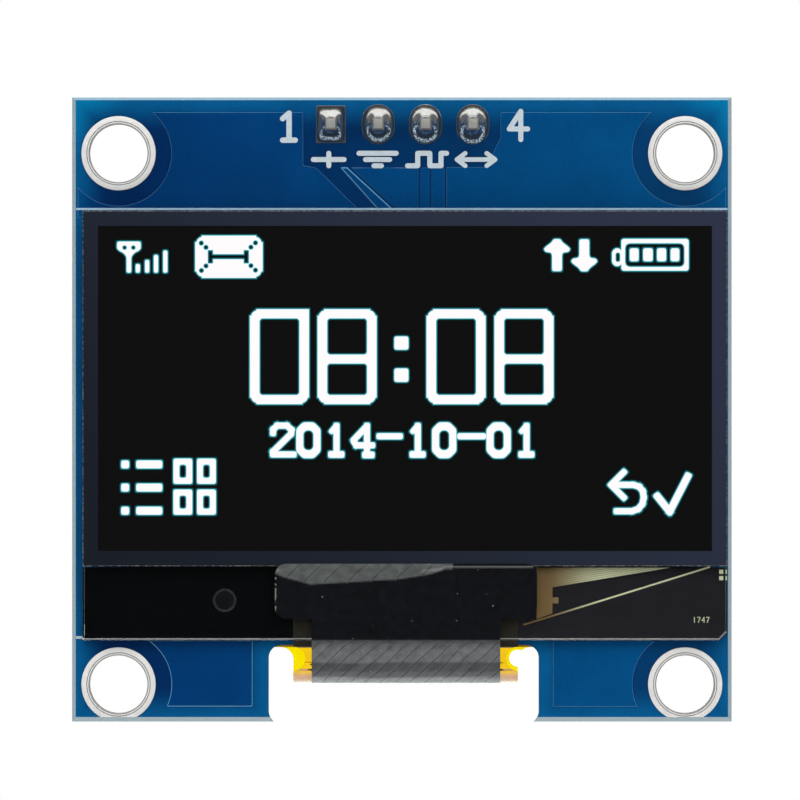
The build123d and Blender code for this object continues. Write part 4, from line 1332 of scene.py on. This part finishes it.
@dataclass
class BoardPrint:
    """Copper fields, tracks and white ink on the board."""

    relief: float = 0.072
    slope_share: float = 0.95
    track_width: float = 0.34
    via_ring: float = 0.34
    via_bore: float = 0.16
    ink_depth: float = 0.015
    ink_stroke: float = 0.27
    keep_out: float = 2.84
    pour_top: float = 16.44
    under_panel: float = 10.8
    label_low: float = 13.44
    label_high: float = 14.38

    def field_piece(self, name: str, loops: Sequence[Loop], side: Side, finish: Finish = POUR_MASK) -> Object:
        """Lay a raised copper field under mask on one face of the board.

        Args:
            name: Name of the piece.
            loops: Its outlines.
            side: Face of the board.
            finish: Finish of the field.

        Returns:
            The piece.
        """
        low, high = box_mm("circuit_board")
        face = low.y if side is Side.FRONT else high.y
        return flat_piece(name, [loops], face - self.relief, 2 * self.relief, finish,
                          edge=self.relief * self.slope_share)

    def ink_piece(self, name: str, shapes: Sequence[list[Loop]], side: Side = Side.FRONT, lift: float = 0.0,
                  finish: Finish = INK) -> Object:
        """Print overlapping strokes of white ink as one piece.

        Args:
            name: Name of the piece.
            shapes: Outlines of each stroke.
            side: Face of the board.
            lift: Height of what the ink lies on, above the board.
            finish: Finish of the ink.

        Returns:
            The piece.
        """
        low, high = box_mm("circuit_board")
        front = low.y - lift - self.ink_depth if side is Side.FRONT else high.y + lift
        return flat_piece(name, shapes, front, self.ink_depth, finish)

    def strokes(self, *runs: Sequence[Point], width: float | None = None) -> Shapes:
        """Give round-ended pen strokes along broken lines."""
        pen = width or self.ink_stroke
        return [[capsule(start, end, pen)] for run in runs for start, end in zip(run, run[1:])]

    def front_fields(self) -> None:
        """Lay the copper fields that show round the panel on the front."""
        top, foot, under = self.pour_top, 13.5, self.under_panel
        left_gap, right_gap, slant_top = -5.3, 5.3, 15.1
        sweep = arc(-15.2, 14.25, self.keep_out, 50, -190, 44)
        left = [(sweep[0][0], top)] + sweep + [(sweep[-1][0], under), (-1.9, under), (-4.57, 13.45),
                                               (left_gap, 13.6), (left_gap, top)]
        sweep = arc(15.2, 14.25, self.keep_out, 130, 190, 44)
        right = [(sweep[0][0], top)] + sweep + [(sweep[-1][0], under), (2.4, under), (2.4, foot),
                                                (4.55, foot),
                                                (right_gap, slant_top), (right_gap, top)]
        slant = [(-3.32, foot), (-2.93, foot), (0.02, under), (-0.91, under)]
        middle = [(-2.77, foot), (0.91, foot), (0.91, under), (0.18, under)]
        fields = {"left": left, "right": right, "slant": slant, "middle": middle,
                  "clock": rectangle(0.99, under, 1.49, foot), "data": rectangle(1.57, under, 2.31, foot)}
        for name, loop in fields.items():
            finish = TRACK_MASK if name in ("middle", "clock", "data") else POUR_MASK
            self.field_piece(f"front_field_{name}", [loop], Side.FRONT, finish)

    def lower_fields(self) -> None:
        """Lay the two fields beside the notch."""
        bottom, top = -15.43, -11.9
        for name, hole_x, inner, outer in (("left", -15.2, -8.01, -12.5), ("right", 15.2, 8.11, 12.7)):
            turn = 0 if hole_x < 0 else 180
            bend = [point for point in arc(hole_x, -14.25, self.keep_out, turn - 60, 120,
                                           40) if bottom < point[1] < top]
            bend.sort(key=lambda point: -point[1])
            loop = [(inner, bottom), (inner, top), (bend[0][0], top)] + bend + [(outer, bottom)]
            self.field_piece(f"front_field_lower_{name}", [loop], Side.FRONT)

    def back_fields(self) -> None:
        """Lay tracks and via rings on the back."""
        face = box_mm("circuit_board")[1].y
        tracks = (
            ((-3.81, 14.6), (-3.81, 12.4), (-5.6, 10.7)),
            ((1.27, 14.6), (1.27, 6.0), (-1.2, 3.6), (-1.2, -2.9)),
            ((3.81, 14.6), (3.81, 7.4), (1.4, 5.0), (1.4, -2.9)),
            ((8.6, 7.3), (8.6, 3.0), (4.1, -1.5), (4.1, -2.9)),
            ((-11.4, 8.6), (-11.4, 3.4)), ((-8.4, 0.9), (-8.4, -1.0), (-6.0, -3.4)),
            ((12.0, 7.9), (12.0, -3.0), (9.4, -6.0)),
        )
        for number, track in enumerate(tracks, start=1):
            runs = self.strokes(track, width=self.track_width)
            flat_piece(f"back_track_{number}", runs, face, self.relief, POUR_MASK)
        vias = ((-5.6, 3.9), (6.3, 2.2), (-13.8, -1.2), (13.6, 3.4), (-2.9, 6.4))
        for number, (x, z) in enumerate(vias, start=1):
            ring = [disc(x, z, self.via_ring, 32), disc(x, z, self.via_bore, 24)]
            flat_piece(f"back_via_{number}", [ring], face, self.relief, TIN, edge=0.006,
                       smooth=True)

    def front_ink(self) -> None:
        """Print the line above the panel, the pin numbers and a sign for each pin."""
        low, high = box_mm("circuit_board")
        pen = self.ink_stroke
        bottom, top = self.label_low + pen / 2, self.label_high - pen / 2
        middle = (bottom + top) / 2
        edge = 0.22
        self.ink_piece("ink_line_above_panel", [[rectangle(low.x + edge, 11.2, high.x - edge, 11.31)]],
                       lift=self.relief, finish=THIN_INK)
        self.ink_piece("ink_line_left_of_panel", [[rectangle(low.x + edge, -11.8, -17.1, -11.66)]])
        one = self.strokes([(-6.4, 16.1), (-6.05, 16.4), (-6.05, 14.95)], [(-6.4, 14.95), (-5.72, 14.95)],
                           width=0.29)
        four = self.strokes([(6.38, 14.98), (6.38, 16.5), (5.76, 15.55), (6.75, 15.55)], width=0.27)
        self.ink_piece("ink_number_1", one, lift=self.relief)
        self.ink_piece("ink_number_4", four, lift=self.relief)
        plus = self.strokes([(-4.75, middle), (-3.1, middle)], [(-3.92, bottom), (-3.92, top)])
        ground = self.strokes([(-2.3, top), (-0.3, top)], [(-1.95, middle), (-0.65, middle)],
                              [(-1.5, bottom), (-1.1, bottom)])
        pulse = self.strokes([(0.3, bottom), (0.85, bottom), (0.85, top), (1.5, top), (1.5, bottom),
                              (2.1, bottom), (2.1, top), (2.4, top)])
        arrows = self.strokes([(2.95, middle), (5.0, middle)], [(3.4, bottom), (2.95, middle), (3.4, top)],
                              [(4.55, bottom), (5.0, middle), (4.55, top)], width=pen * 0.9)
        for name, strokes in (("plus", plus), ("ground", ground), ("pulse", pulse), ("both_ways", arrows)):
            self.ink_piece(f"ink_sign_{name}", strokes, lift=self.relief)

    def back_ink(self) -> None:
        """Print frames round the back's parts and a line under the header."""
        margin, pen = 0.32, 0.13
        nodes = [f"capacitor_{n}_ends" for n in range(1, 7)] + [f"resistor_{n}_ends" for n in range(1, 5)]
        for node in nodes + ["regulator_case", "diode_case"]:
            low, high = box_mm(node)
            reach_x, reach_z = (0.42, margin) if high.x - low.x > high.z - low.z else (margin, 0.42)
            if node.endswith("_case"):
                reach_x, reach_z = margin, margin
            outer = rectangle(low.x - reach_x, low.z - reach_z, high.x + reach_x, high.z + reach_z)
            inner = rectangle(low.x - reach_x + pen, low.z - reach_z + pen, high.x + reach_x - pen,
                              high.z + reach_z - pen)
            self.ink_piece("back_ink_" + node.rsplit("_", 1)[0], [[outer, inner]], Side.BACK)
        self.ink_piece("back_ink_header", [[rectangle(-5.5, 14.2, 5.5, 14.33)]], Side.BACK)

    def build(self) -> None:
        """Lay every field, track and print."""
        self.front_fields()
        self.lower_fields()
        self.back_fields()
        self.front_ink()
        self.back_ink()


@dataclass
class HoleLinings:
    """The four tinned mounting holes, each with a rolled lip and a shallow groove round it."""

    bore: float = 1.55
    land: float = 2.0
    rise: float = 0.08
    steps: int = 96

    def profile(self, thickness: float) -> list[Point]:
        """Give the closed section of a lining, from its outer rim at the front.

        Args:
            thickness: Thickness of the board.

        Returns:
            Radius and height of each ring; the board's front face is at height 0.
        """
        rise, bore, land = self.rise, self.bore, self.land
        face = [(land, 0.0), (land - 0.012, rise * 0.8), (land - 0.04, rise), (1.722, rise),
                (1.7, rise * 0.5), (1.678, rise), (1.612, rise), (1.592, rise * 0.5), (1.572, rise * 0.92),
                (bore + 0.008, rise * 0.8), (bore, rise * 0.5), (bore, -0.05)]
        back = [(radius, -thickness - height) for radius, height in reversed(face)]
        return face + back + [(land, -thickness), (bore + 0.05, -thickness), (bore + 0.05, 0.0), (land, 0.0)]

    def build(self) -> None:
        """Turn a lining, copy it to the four holes, and cut the lower two flat at the board's edge."""
        low, high = box_mm("circuit_board")
        pattern = lathe("hole_lining_pattern", self.profile(high.y - low.y), self.steps)
        tidy_mesh(pattern)
        for number in range(1, 5):
            node = f"hole_lining_{number}"
            node_low, node_high = box_mm(node)
            centre_z = node_high.z - self.land
            piece = pattern.copy()
            piece.data = pattern.data.copy()
            piece.name = f"tinned_hole_{number}"
            bpy.context.scene.collection.objects.link(piece)
            piece.location = ((node_low.x + node_high.x) / 2, low.y, centre_z)
            apply_place(piece)
            if centre_z - self.land < node_low.z - 0.01:
                cut(piece, box_piece("trim", Vector((node_low.x - 1, -9, node_low.z - 3)),
                                     Vector((node_high.x + 1, 9, node_low.z))))
            settle(piece, TIN, [node])
        bpy.data.objects.remove(pattern)


@dataclass
class HeaderJoints:
    """Pins, solder cones with hollow sides, and the moulded strip of the header."""

    pins: int = 4
    steps: int = 64
    pin_half: float = 0.34
    cone_height: float = 1.15
    rings: tuple[Point, ...] = ((1.0, 0.0), (0.9385, 0.0031), (0.846, 0.0124), (0.766, 0.0273),
                                (0.6925, 0.0517), (0.619, 0.0913),
                                (0.551, 0.1435), (0.4896, 0.2139), (0.4404, 0.3035), (0.4096, 0.4),
                                (0.394, 0.52), (0.385, 1.0))
    fullness: tuple[float, ...] = (0.6, 0.85, 1.0, 1.15)
    clearance: float = 0.02
    square_power: float = 7.0
    oval_power: float = 2.35
    ripple: float = 0.012
    tip_share: float = 0.72
    taper: float = 0.14

    def cone(self, number: int) -> Object:
        """Turn one cone and press its foot to the land's outline.

        Args:
            number: Pin number, from 1.

        Returns:
            The cone in place.
        """
        low, high = box_mm(f"header_solder_{number}")
        land_front = box_mm(f"header_pad_{number}")[0].y
        half_x, half_z = (high.x - low.x) / 2, (high.z - low.z) / 2
        full = self.fullness[number - 1]
        profile = [(share, share_up * (full if share_up < 0.5 else 1.0) * self.cone_height)
                   for share, share_up in self.rings]
        piece = lathe(f"solder_cone_{number}", profile, self.steps)
        power = self.square_power if number == 1 else self.oval_power
        neck, hug = self.rings[-1][0], self.pin_half + self.clearance
        middle_x, middle_z = (low.x + high.x) / 2, (low.z + high.z) / 2
        lean = random.Random(number)
        sway_x, sway_z = lean.uniform(-0.03, 0.03), lean.uniform(-0.02, 0.03)
        for vertex in piece.data.vertices:
            x, y, z = vertex.co
            share = math.hypot(x, z)
            angle = math.atan2(z, x)
            foot = max(0.0, (share - neck) / (1 - neck))
            waist = foot * (1 - foot) * 4
            exponent = 2.0 + (power - 2.0) * foot ** 0.6
            reach = (abs(math.cos(angle)) ** exponent + abs(math.sin(angle)) ** exponent) ** (-1 / exponent)
            reach *= 1 + self.ripple * math.sin(5 * angle + number * 1.7) * waist
            vertex.co.x = middle_x + math.cos(angle) * reach * (hug + (half_x - hug) * foot) + sway_x * waist
            vertex.co.z = middle_z + math.sin(angle) * reach * (hug + (half_z - hug) * foot) + sway_z * waist
            vertex.co.y = y + land_front
        self.close_ends(piece)
        return piece

    def close_ends(self, piece: Object) -> None:
        """Close the open rings at both ends of a turned piece."""
        pick(piece)
        bpy.ops.object.mode_set(mode="EDIT")
        bpy.ops.mesh.select_all(action="DESELECT")
        bpy.ops.mesh.select_mode(type="EDGE")
        bpy.ops.mesh.select_non_manifold()
        bpy.ops.mesh.edge_face_add()
        bpy.ops.mesh.select_all(action="SELECT")
        bpy.ops.mesh.normals_make_consistent(inside=False)
        bpy.ops.object.mode_set(mode="OBJECT")

    def pin(self, number: int) -> Object:
        """Draw one square pin with tapered tips.

        Args:
            number: Pin number, from 1.

        Returns:
            The pin in place.
        """
        low, high = box_mm(f"header_pin_{number}")
        wide = (high.x - low.x) / 2 * math.sqrt(2)
        profile = [(wide * self.tip_share, -low.y), (wide, -low.y - self.taper), (wide, -high.y + self.taper),
                   (wide * self.tip_share, -high.y)]
        piece = lathe(f"square_pin_{number}", profile, 4)
        piece.rotation_euler = (0, math.pi / 4, 0)
        piece.location = ((low.x + high.x) / 2, 0, (low.z + high.z) / 2)
        apply_place(piece)
        self.close_ends(piece)
        apply_modifier(piece, "BEVEL", width=0.025, segments=2, limit_method="ANGLE", angle_limit=SOFT_ANGLE)
        return piece

    def build(self) -> None:
        """Build every joint, pin and the strip."""
        for number in range(1, self.pins + 1):
            settle(self.cone(number), JOINT_SOLDER, [f"header_solder_{number}"])
            settle(self.pin(number), PIN_TIN, [f"header_pin_{number}"])
            node_piece(f"header_pad_{number}", f"pin_land_{number}", SOLDER, edge=0.015)
        node_piece("header_housing", "header_strip", HEADER_NYLON, edge=0.06, segments=3)


@dataclass
class Panel:
    """The display panel's film, glass, ledge and what shows through it."""

    spot: tuple[float, float, float] = (-9.49, -9.72, 0.63)
    spot_rim: float = 0.13
    film_edge: float = 0.04
    foam_gap: float = 0.03
    shade_reach_to_flex: float = 0.42
    foam_corner: float = 0.3
    lead_width: float = 0.09
    mark_place: Point = (15.6, -10.9)
    mark_size: Point = (0.14, 0.27)
    mark_pitch: float = 1.7
    mark_stroke: float = 0.045
    mark_digits: dict[str, tuple[Point, ...]] = field(default_factory=lambda: {
        "1": ((0.5, 0.0), (0.5, 1.0)), "7": ((0.3, 0.0), (1.0, 1.0), (0.0, 1.0)),
        "4": ((0.8, 0.0), (0.8, 1.0), (0.0, 0.35), (1.0, 0.35))})

    def build(self) -> None:
        """Dress the film and lay the round mark that shows through the ledge."""
        node_piece("polariser_film", "film_sheet", FILM, self.film_edge, 1, smooth=False)
        self.foam()
        self.leads()
        self.digits("1747")
        foam_front = box_mm("ledge_foam_left")[0].y
        x, z, radius = self.spot
        outer, inner = disc(x, z, radius), disc(x, z, radius - self.spot_rim)
        flat_piece("pressed_spot_rim", [[outer, inner]], foam_front - 0.01, 0.02, SPOT_RIM)
        flat_piece("pressed_spot", [[inner]], foam_front - 0.008, 0.016, SPOT)

    def foam(self) -> None:
        """Press the two foam strips behind the ledge out to the cable and to the glass's edge."""
        glass_low, glass_high = box_mm("front_glass")
        gap, corner = self.foam_gap, self.foam_corner
        for side, finish in (("left", FOAM_BLACK), ("right", FOAM_GREY)):
            low, high = box_mm(f"ledge_foam_{side}")
            bottom = glass_low.z + gap
            # Both strips reach past the real foam towards the cable: black put there as painted shade between
            # glass and board.
            if side == "left":
                outline = rectangle(glass_low.x + gap, bottom, high.x + self.shade_reach_to_flex, high.z)
            else:
                left, right = low.x - self.shade_reach_to_flex, glass_high.x - gap
                outline = [(left, bottom), (right - corner, bottom), (right, bottom + corner),
                           (right, high.z), (left, high.z)]
            flat_piece(f"foam_strip_{side}", [[outline]], low.y, high.y - low.y, finish,
                       nodes=[f"ledge_foam_{side}"])

    def leads(self) -> None:
        """Thin the long slanted lead to its seen width."""
        front = box_mm("panel_leads")[0].y
        start, end = Vector((6.53, -11.07)), Vector((16.515, -7.97))
        along = (end - start).normalized()
        across = Vector((-along.y, along.x))
        near, far = -0.3, 0.085 - self.lead_width
        strip = [tuple(point + along * reach + across * off) for point, reach, off in
                 ((start, -0.4, near), (end, 0.4, near), (end, 0.4, far), (start, -0.4, far))]
        leads = node_copy("panel_leads", "etched_leads")
        cut(leads, flat_plate("lead_trim", [strip], front - 0.5, 1.0))
        settle(leads, LEADS, ["panel_leads"], smooth=False)

    def digits(self, number: str) -> None:
        """Etch a small plain number in the ledge's corner, in the lead metal."""
        front = box_mm("panel_leads")[0].y
        x, z = self.mark_place
        wide, tall = self.mark_size
        strokes = []
        for place, digit in enumerate(number):
            left = x + place * wide * self.mark_pitch
            points = [(left + across * wide, z + up * tall) for across, up in self.mark_digits[digit]]
            strokes += [[capsule(start, end, self.mark_stroke)] for start, end in zip(points, points[1:])]
        flat_piece("etched_number", strokes, front, 0.01, LEADS)


def eased(share: float, rounding: float) -> float:
    """Give a ramp from 0 to 1 whose ends are rounded.

    Args:
        share: Place along the ramp, where 0 and 1 are its ends.
        rounding: Share of the ramp that each rounded end takes.

    Returns:
        Height of the ramp.
    """
    share = min(max(share, 0.0), 1.0)
    steep = 1 / (1 - rounding)
    if share < rounding:
        return steep * share * share / (2 * rounding)
    if share > 1 - rounding:
        return 1 - steep * (1 - share) ** 2 / (2 * rounding)
    return steep * (share - rounding / 2)


@dataclass
class FlexTape:
    """Black tape over the ledge and round the flex's fold, bridging the film's edge at its upper left."""

    width: float = 10.1
    head_corner: float = 0.6
    head_height: float = 2.95
    ramps: tuple[Point, ...] = ((-6.9, 0.3), (-6.4, 0.5), (-4.9, 0.92), (-3.05, 0.82), (-0.1, 0.64),
                                (1.5, 0.38), (2.3, 0.14))
    edge_round: float = 0.14
    crease_pitch: float = 0.95
    crease_lean: float = 1.05
    swell: float = 0.0035
    back_run: float = 2.6
    columns: int = 200
    rows: int = 140

    def __post_init__(self) -> None:
        """Read the levels that the tape follows from the frame."""
        self.low, self.high = box_mm("flex_tape")
        glass_low, glass_high = box_mm("front_glass")
        flex_low, flex_high = box_mm("flex_cable")
        film_low = box_mm("polariser_film")[0]
        self.thickness = film_low.y - self.low.y
        self.film_face, self.film_edge = film_low.y, film_low.z
        self.glass_face, self.glass_edge = glass_low.y, glass_low.z
        self.fold_radius = (flex_high.y - glass_high.y) / 2
        self.fold_y = (flex_high.y + glass_high.y) / 2
        self.fold_z = flex_low.z + self.fold_radius
        self.edge_start = self.glass_edge + 0.05
        corner = Vector((self.fold_y - self.glass_face, self.edge_start - self.edge_round / 2 - self.fold_z))
        self.first_angle = math.acos(self.fold_radius / corner.length) - math.atan2(corner.y, corner.x)
        self.touch = Vector((self.fold_y - self.fold_radius * math.cos(self.first_angle),
                             self.fold_z - self.fold_radius * math.sin(self.first_angle)))
        fall_height = self.edge_start - self.edge_round / 2 - self.touch.y
        self.fall_rate = (self.touch.x - self.glass_face) / fall_height
        self.front_run = self.high.z - self.touch.y
        self.arc_run = (math.pi - self.first_angle) * self.fold_radius
        self.middle = (self.low.x + self.high.x) / 2

    def face_level(self, x: float, z: float) -> float:
        """Give Y of the surface under the tape on its front run.

        Args:
            x: Place across.
            z: Place up.

        Returns:
            The level.
        """
        reach = between(self.ramps, x)
        level = self.film_face + (self.glass_face - self.film_face) * eased((self.film_edge - z) / reach,
                                                                            0.25)
        down = max(self.edge_start - z, 0.0)
        fall = down * down / (2 * self.edge_round) if down < self.edge_round else down - self.edge_round / 2
        return level + fall * self.fall_rate

    def crease(self, x: float, run: float) -> float:
        """Give how far a crease sinks the tape.

        Args:
            x: Place across.
            run: Distance along the tape from its upper edge.

        Returns:
            Depth of the crease, negative inwards, with the gentle swell of the film between creases.
        """
        z = self.high.z - run
        bridge_end = self.film_edge - between(self.ramps, x)
        on_bridge = 1.0 if z > bridge_end - 0.1 and x < self.ramps[-1][0] + 1 else 0.0
        on_slope = 1.0 if z < self.glass_edge + 0.02 else 0.0
        weight = max(on_bridge, on_slope)
        if not weight:
            return 0.0
        phase = (x - self.crease_lean * z) / self.crease_pitch + 0.25 * math.sin(1.1 * x + 0.5 * z)
        broad = math.cos(2 * math.pi * phase) + 0.6 * math.sin(3.3 * z + 0.9 * x) - 0.6
        return weight * self.swell * broad

    def hangs_free(self, x: float, run: float) -> float:
        """Give 1 where the tape bridges the step under the film's edge, and 0 where it lies on glass."""
        reach = between(self.ramps, x) if x < self.ramps[-1][0] + 0.4 else 0.0
        below = (self.film_edge - reach) - (self.high.z - run)
        return min(max(1.0 - below / 0.08, 0.0), 1.0) if reach else 0.0

    def place(self, x: float, run: float, height: float) -> Vector:
        """Wrap a point of the flat tape round its path.

        Args:
            x: Place across.
            run: Distance along the tape from its upper edge.
            height: Height above the surface under the tape.

        Returns:
            The point in the frame.
        """
        if run <= self.front_run:
            z = self.high.z - run
            step = 0.01
            lean = (self.face_level(x, z - step) - self.face_level(x, z + step)) / (2 * step)
            length = math.hypot(1, lean)
            level = self.face_level(x, z)
            return Vector((x, level - height / length, z - height * lean / length))
        angle = self.first_angle + (run - self.front_run) / self.fold_radius
        reach = self.fold_radius + height
        if angle <= math.pi:
            return Vector((x, self.fold_y - reach * math.cos(angle), self.fold_z - reach * math.sin(angle)))
        return Vector((x, self.fold_y + reach, self.fold_z + run - self.front_run - self.arc_run))

    def flat_outline(self) -> Object:
        """Give a prism over the flat tape's outline: a head with round corners and a narrower run."""
        head = rounded(self.low.x, -self.head_height, self.high.x, 0.0, self.head_corner)
        total = self.front_run + self.arc_run + self.back_run
        run = rectangle(self.middle - self.width / 2, -total, self.middle + self.width / 2, -1.0)
        prisms = [flat_plate("tape_outline", [loop], -1.0, 2.0) for loop in (head, run)]
        prism = fuse(prisms)
        prism.rotation_euler = (-QUARTER_TURN, 0, 0)
        apply_place(prism)
        return prism

    def build(self) -> None:
        """Cut the tape from a fine flat sheet, wrap it and crease it."""
        total = self.front_run + self.arc_run + self.back_run
        pick()
        bpy.ops.mesh.primitive_grid_add(x_subdivisions=self.columns, y_subdivisions=self.rows, size=1,
                                        location=(self.middle, -total / 2, self.thickness / 2))
        tape = bpy.context.object
        tape.name = "creased_tape"
        tape.scale = (self.high.x - self.low.x + 0.1, total + 0.1, 1)
        apply_place(tape)
        apply_modifier(tape, "SOLIDIFY", thickness=self.thickness, offset=0)
        cut(tape, self.flat_outline(), "INTERSECT")
        hangs = tape.data.attributes.new(HANGING, "FLOAT", "POINT")
        for vertex in tape.data.vertices:
            x, run, height = vertex.co.x, -vertex.co.y, vertex.co.z
            lifted = min(max(height, 0.0), self.thickness) + self.crease(x, run)
            vertex.co = self.place(x, run, max(lifted, height * 0.2))
            hangs.data[vertex.index].value = self.hangs_free(x, run)
        settle(tape, TAPE, ["flex_tape"])


@dataclass
class FlexCable:
    """The polyimide cable with its soldered contacts."""

    contact_edge: float = 0.01

    def build(self) -> None:
        """Smooth the cable's fold and dress its contacts."""
        node_piece("flex_cable", "polyimide_cable", FLEX)
        node_piece("contact_solder", "contact_ridges", SOLDER, edge=self.contact_edge)


@dataclass
class BackParts:
    """Parts soldered on the back."""

    capacitors: int = 6
    resistors: int = 4
    body_edge: float = 0.03
    lead_edge: float = 0.012

    def build(self) -> None:
        """Soften and dress each part."""
        kinds = (("capacitor", self.capacitors, CAPACITOR), ("resistor", self.resistors, RESISTOR))
        for kind, count, finish in kinds:
            for number in range(1, count + 1):
                name = f"{kind}_{number}"
                node_piece(f"{name}_body", f"{name}_ceramic", finish, edge=self.body_edge)
                node_piece(f"{name}_ends", f"{name}_caps", END_TIN, edge=self.body_edge)
        for name, finish in (("regulator", CASE), ("diode", DIODE_CASE)):
            node_piece(f"{name}_case", f"{name}_moulding", finish, edge=self.body_edge)
            node_piece(f"{name}_leads", f"{name}_bent_leads", END_TIN, edge=self.lead_edge)
        node_piece("component_solder", "part_fillets", SOLDER)


@dataclass
class Studio:
    """Camera, lamps, floor and white surroundings."""

    lens: float = 600.0
    sensor: float = 36.0
    view_width: float = 42.92
    view_x: float = -0.10
    view_z: float = 1.01
    floor_z: float = -30.0
    floor_side: float = 0.3
    floor_bright_mm: float = 8.0
    floor_dark_mm: float = 20.0
    floor_colour: str = "#F2F2F2"
    floor_mirrored: str = "#202020"
    floor_lift: float = 0.3
    top_lamp_watts: float = 1.27
    back_lamp_watts: float = 2.0
    back_lamp_size: float = 0.5
    side_lamp_watts: float = 0.9
    sky: float = 0.42
    dark_inner: float = 13.0
    dark_outer: float = 28.0
    side_gloss: float = 0.1
    least_gloss: float = 0.012
    bright_from: float = 0.1
    bright_at: float = 0.25
    side_start: float = 0.35
    side_end: float = 0.6
    lamp_size: float = 0.4

    def camera(self) -> None:
        """Set a long lens square to the board's front."""
        data = bpy.data.cameras.new("long_lens")
        data.lens = self.lens
        data.sensor_width = self.sensor
        distance = self.view_width * self.lens / self.sensor
        front = box_mm("circuit_board")[0].y
        camera = bpy.data.objects.new("camera", data)
        camera.location = Vector((self.view_x, front - distance, self.view_z)) * MM
        camera.rotation_euler = (QUARTER_TURN, 0, 0)
        bpy.context.scene.collection.objects.link(camera)
        bpy.context.scene.camera = camera

    def lamp(self, name: str, place: tuple[float, float, float], size: float, watts: float) -> None:
        """Hang a square soft box that looks at the object and isn't mirrored in it.

        Args:
            name: Name of the lamp.
            place: Its place, in metres.
            size: Its side, in metres.
            watts: Its power.
        """
        data = bpy.data.lights.new(name, "AREA")
        data.shape = "SQUARE"
        data.size = size
        data.energy = watts
        lamp = bpy.data.objects.new(name, data)
        lamp.location = place
        lamp.rotation_mode = "QUATERNION"
        lamp.rotation_quaternion = (-Vector(place)).to_track_quat("-Z", "Y")
        lamp.visible_glossy = False
        bpy.context.scene.collection.objects.link(lamp)

    def floor(self) -> None:
        """Lay a large pale floor that shows white and keeps the object's shadow."""
        pick()
        bpy.ops.mesh.primitive_plane_add(size=self.floor_side, location=(0, 0, self.floor_z * MM))
        floor = bpy.context.object
        floor.name = "studio_floor"
        material = bpy.data.materials.new("white_studio_floor")
        material.use_nodes = True
        tree = material.node_tree
        shader = tree.nodes["Principled BSDF"]
        feed(tree, shader.inputs["Roughness"], 0.9)
        rays = add_node(tree, Step.RAYS).node.outputs
        glossy = rays["Is Glossy Ray"]
        place = add_node(tree, Step.PLACE).node.outputs["Object"]
        ahead = add_node(tree, Step.MULTIPLY, add_node(tree, Step.AXES, place).node.outputs[1], -1.0)
        far = add_node(tree, Step.SMOOTH, ahead, self.floor_bright_mm * MM, self.floor_dark_mm * MM)
        mirrored = add_node(tree, Step.MULTIPLY, glossy, far)
        tone = add_node(tree, Step.BLEND, mirrored, self.floor_colour, self.floor_mirrored)
        feed(tree, shader.inputs["Base Color"], tone)
        seen = add_node(tree, Step.MAXIMUM, rays["Is Camera Ray"], rays["Is Transmission Ray"])
        seen = add_node(tree, Step.MAXIMUM, seen, glossy)
        lift = add_node(tree, Step.MULTIPLY, seen, add_node(tree, Step.SUBTRACT, 1.0, mirrored))
        glow = add_node(tree, Step.GLOW, WHITE, add_node(tree, Step.MULTIPLY, lift, self.floor_lift))
        surface = add_node(tree, Step.SUM, shader.outputs[0], glow)
        feed(tree, tree.nodes["Material Output"].inputs["Surface"], surface)
        floor.data.materials.append(material)

    def world(self) -> None:
        """Surround the object with white, with a dark opening for the lens in front and behind."""
        world = bpy.data.worlds.new("white_surround")
        bpy.context.scene.world = world
        world.use_nodes = True
        tree = world.node_tree
        tree.nodes.clear()
        parts = add_node(tree, Step.AXES, add_node(tree, Step.PLACE).node.outputs["Generated"]).node.outputs
        off_middle = add_node(tree, Step.ABSOLUTE, parts[0])
        across = add_node(tree, Step.SMOOTH, off_middle, self.side_end, self.side_start)
        above = add_node(tree, Step.SMOOTH, parts[2], self.bright_from, self.bright_at)
        bright = add_node(tree, Step.MULTIPLY, above, across)
        level = add_node(tree, Step.LEVEL, bright, 0.0, 1.0, self.side_gloss, 1.0)
        outer, inner = math.cos(math.radians(self.dark_outer)), math.cos(math.radians(self.dark_inner))
        opening = add_node(tree, Step.SMOOTH, add_node(tree, Step.ABSOLUTE, parts[1]), inner, outer)
        gloss = add_node(tree, Step.MAXIMUM, add_node(tree, Step.MULTIPLY, level, opening), self.least_gloss)
        plain, seen, mirror = [add_node(tree, Step.SKY, WHITE, power) for power in (self.sky, 1.0, gloss)]
        rays = add_node(tree, Step.RAYS).node.outputs
        through = rays["Is Transmission Ray"]
        behind = add_node(tree, Step.MULTIPLY, through, add_node(tree, Step.GREATER_THAN, parts[1], 0.0))
        direct = add_node(tree, Step.MAXIMUM, rays["Is Camera Ray"], behind)
        mirrored = add_node(tree, Step.MAXIMUM, rays["Is Glossy Ray"], through)
        unseen = add_node(tree, Step.MIX, mirrored, plain, mirror)
        add_node(tree, Step.WORLD, add_node(tree, Step.MIX, direct, unseen, seen))

    def build(self) -> None:
        """Set the whole studio up."""
        self.camera()
        self.lamp("top_soft_box", (0.0, -0.52, 0.30), self.lamp_size, self.top_lamp_watts)
        self.lamp("left_soft_box", (-0.55, -0.45, 0.12), self.lamp_size, self.side_lamp_watts)
        self.lamp("right_soft_box", (0.55, -0.45, 0.12), self.lamp_size, self.side_lamp_watts)
        self.lamp("back_soft_box", (0.0, 0.6, 0.45), self.back_lamp_size, self.back_lamp_watts)
        self.floor()
        self.world()
        bpy.context.scene.view_settings.view_transform = "Standard"


def main() -> None:
    """Dress the frame, build each sub-assembly and set up the studio."""
    logging.basicConfig(level=logging.INFO, format="%(message)s")
    for node, finish in NODE_FINISHES.items():
        dress_node(node, finish)
    for part in (BoardPrint(), HoleLinings(), HeaderJoints(), Panel(), Screen(), FlexCable(), FlexTape(),
                 BackParts()):
        log.info("building %s", type(part).__name__)
        part.build()
    Studio().build()


if __name__ == "__main__":
    main()
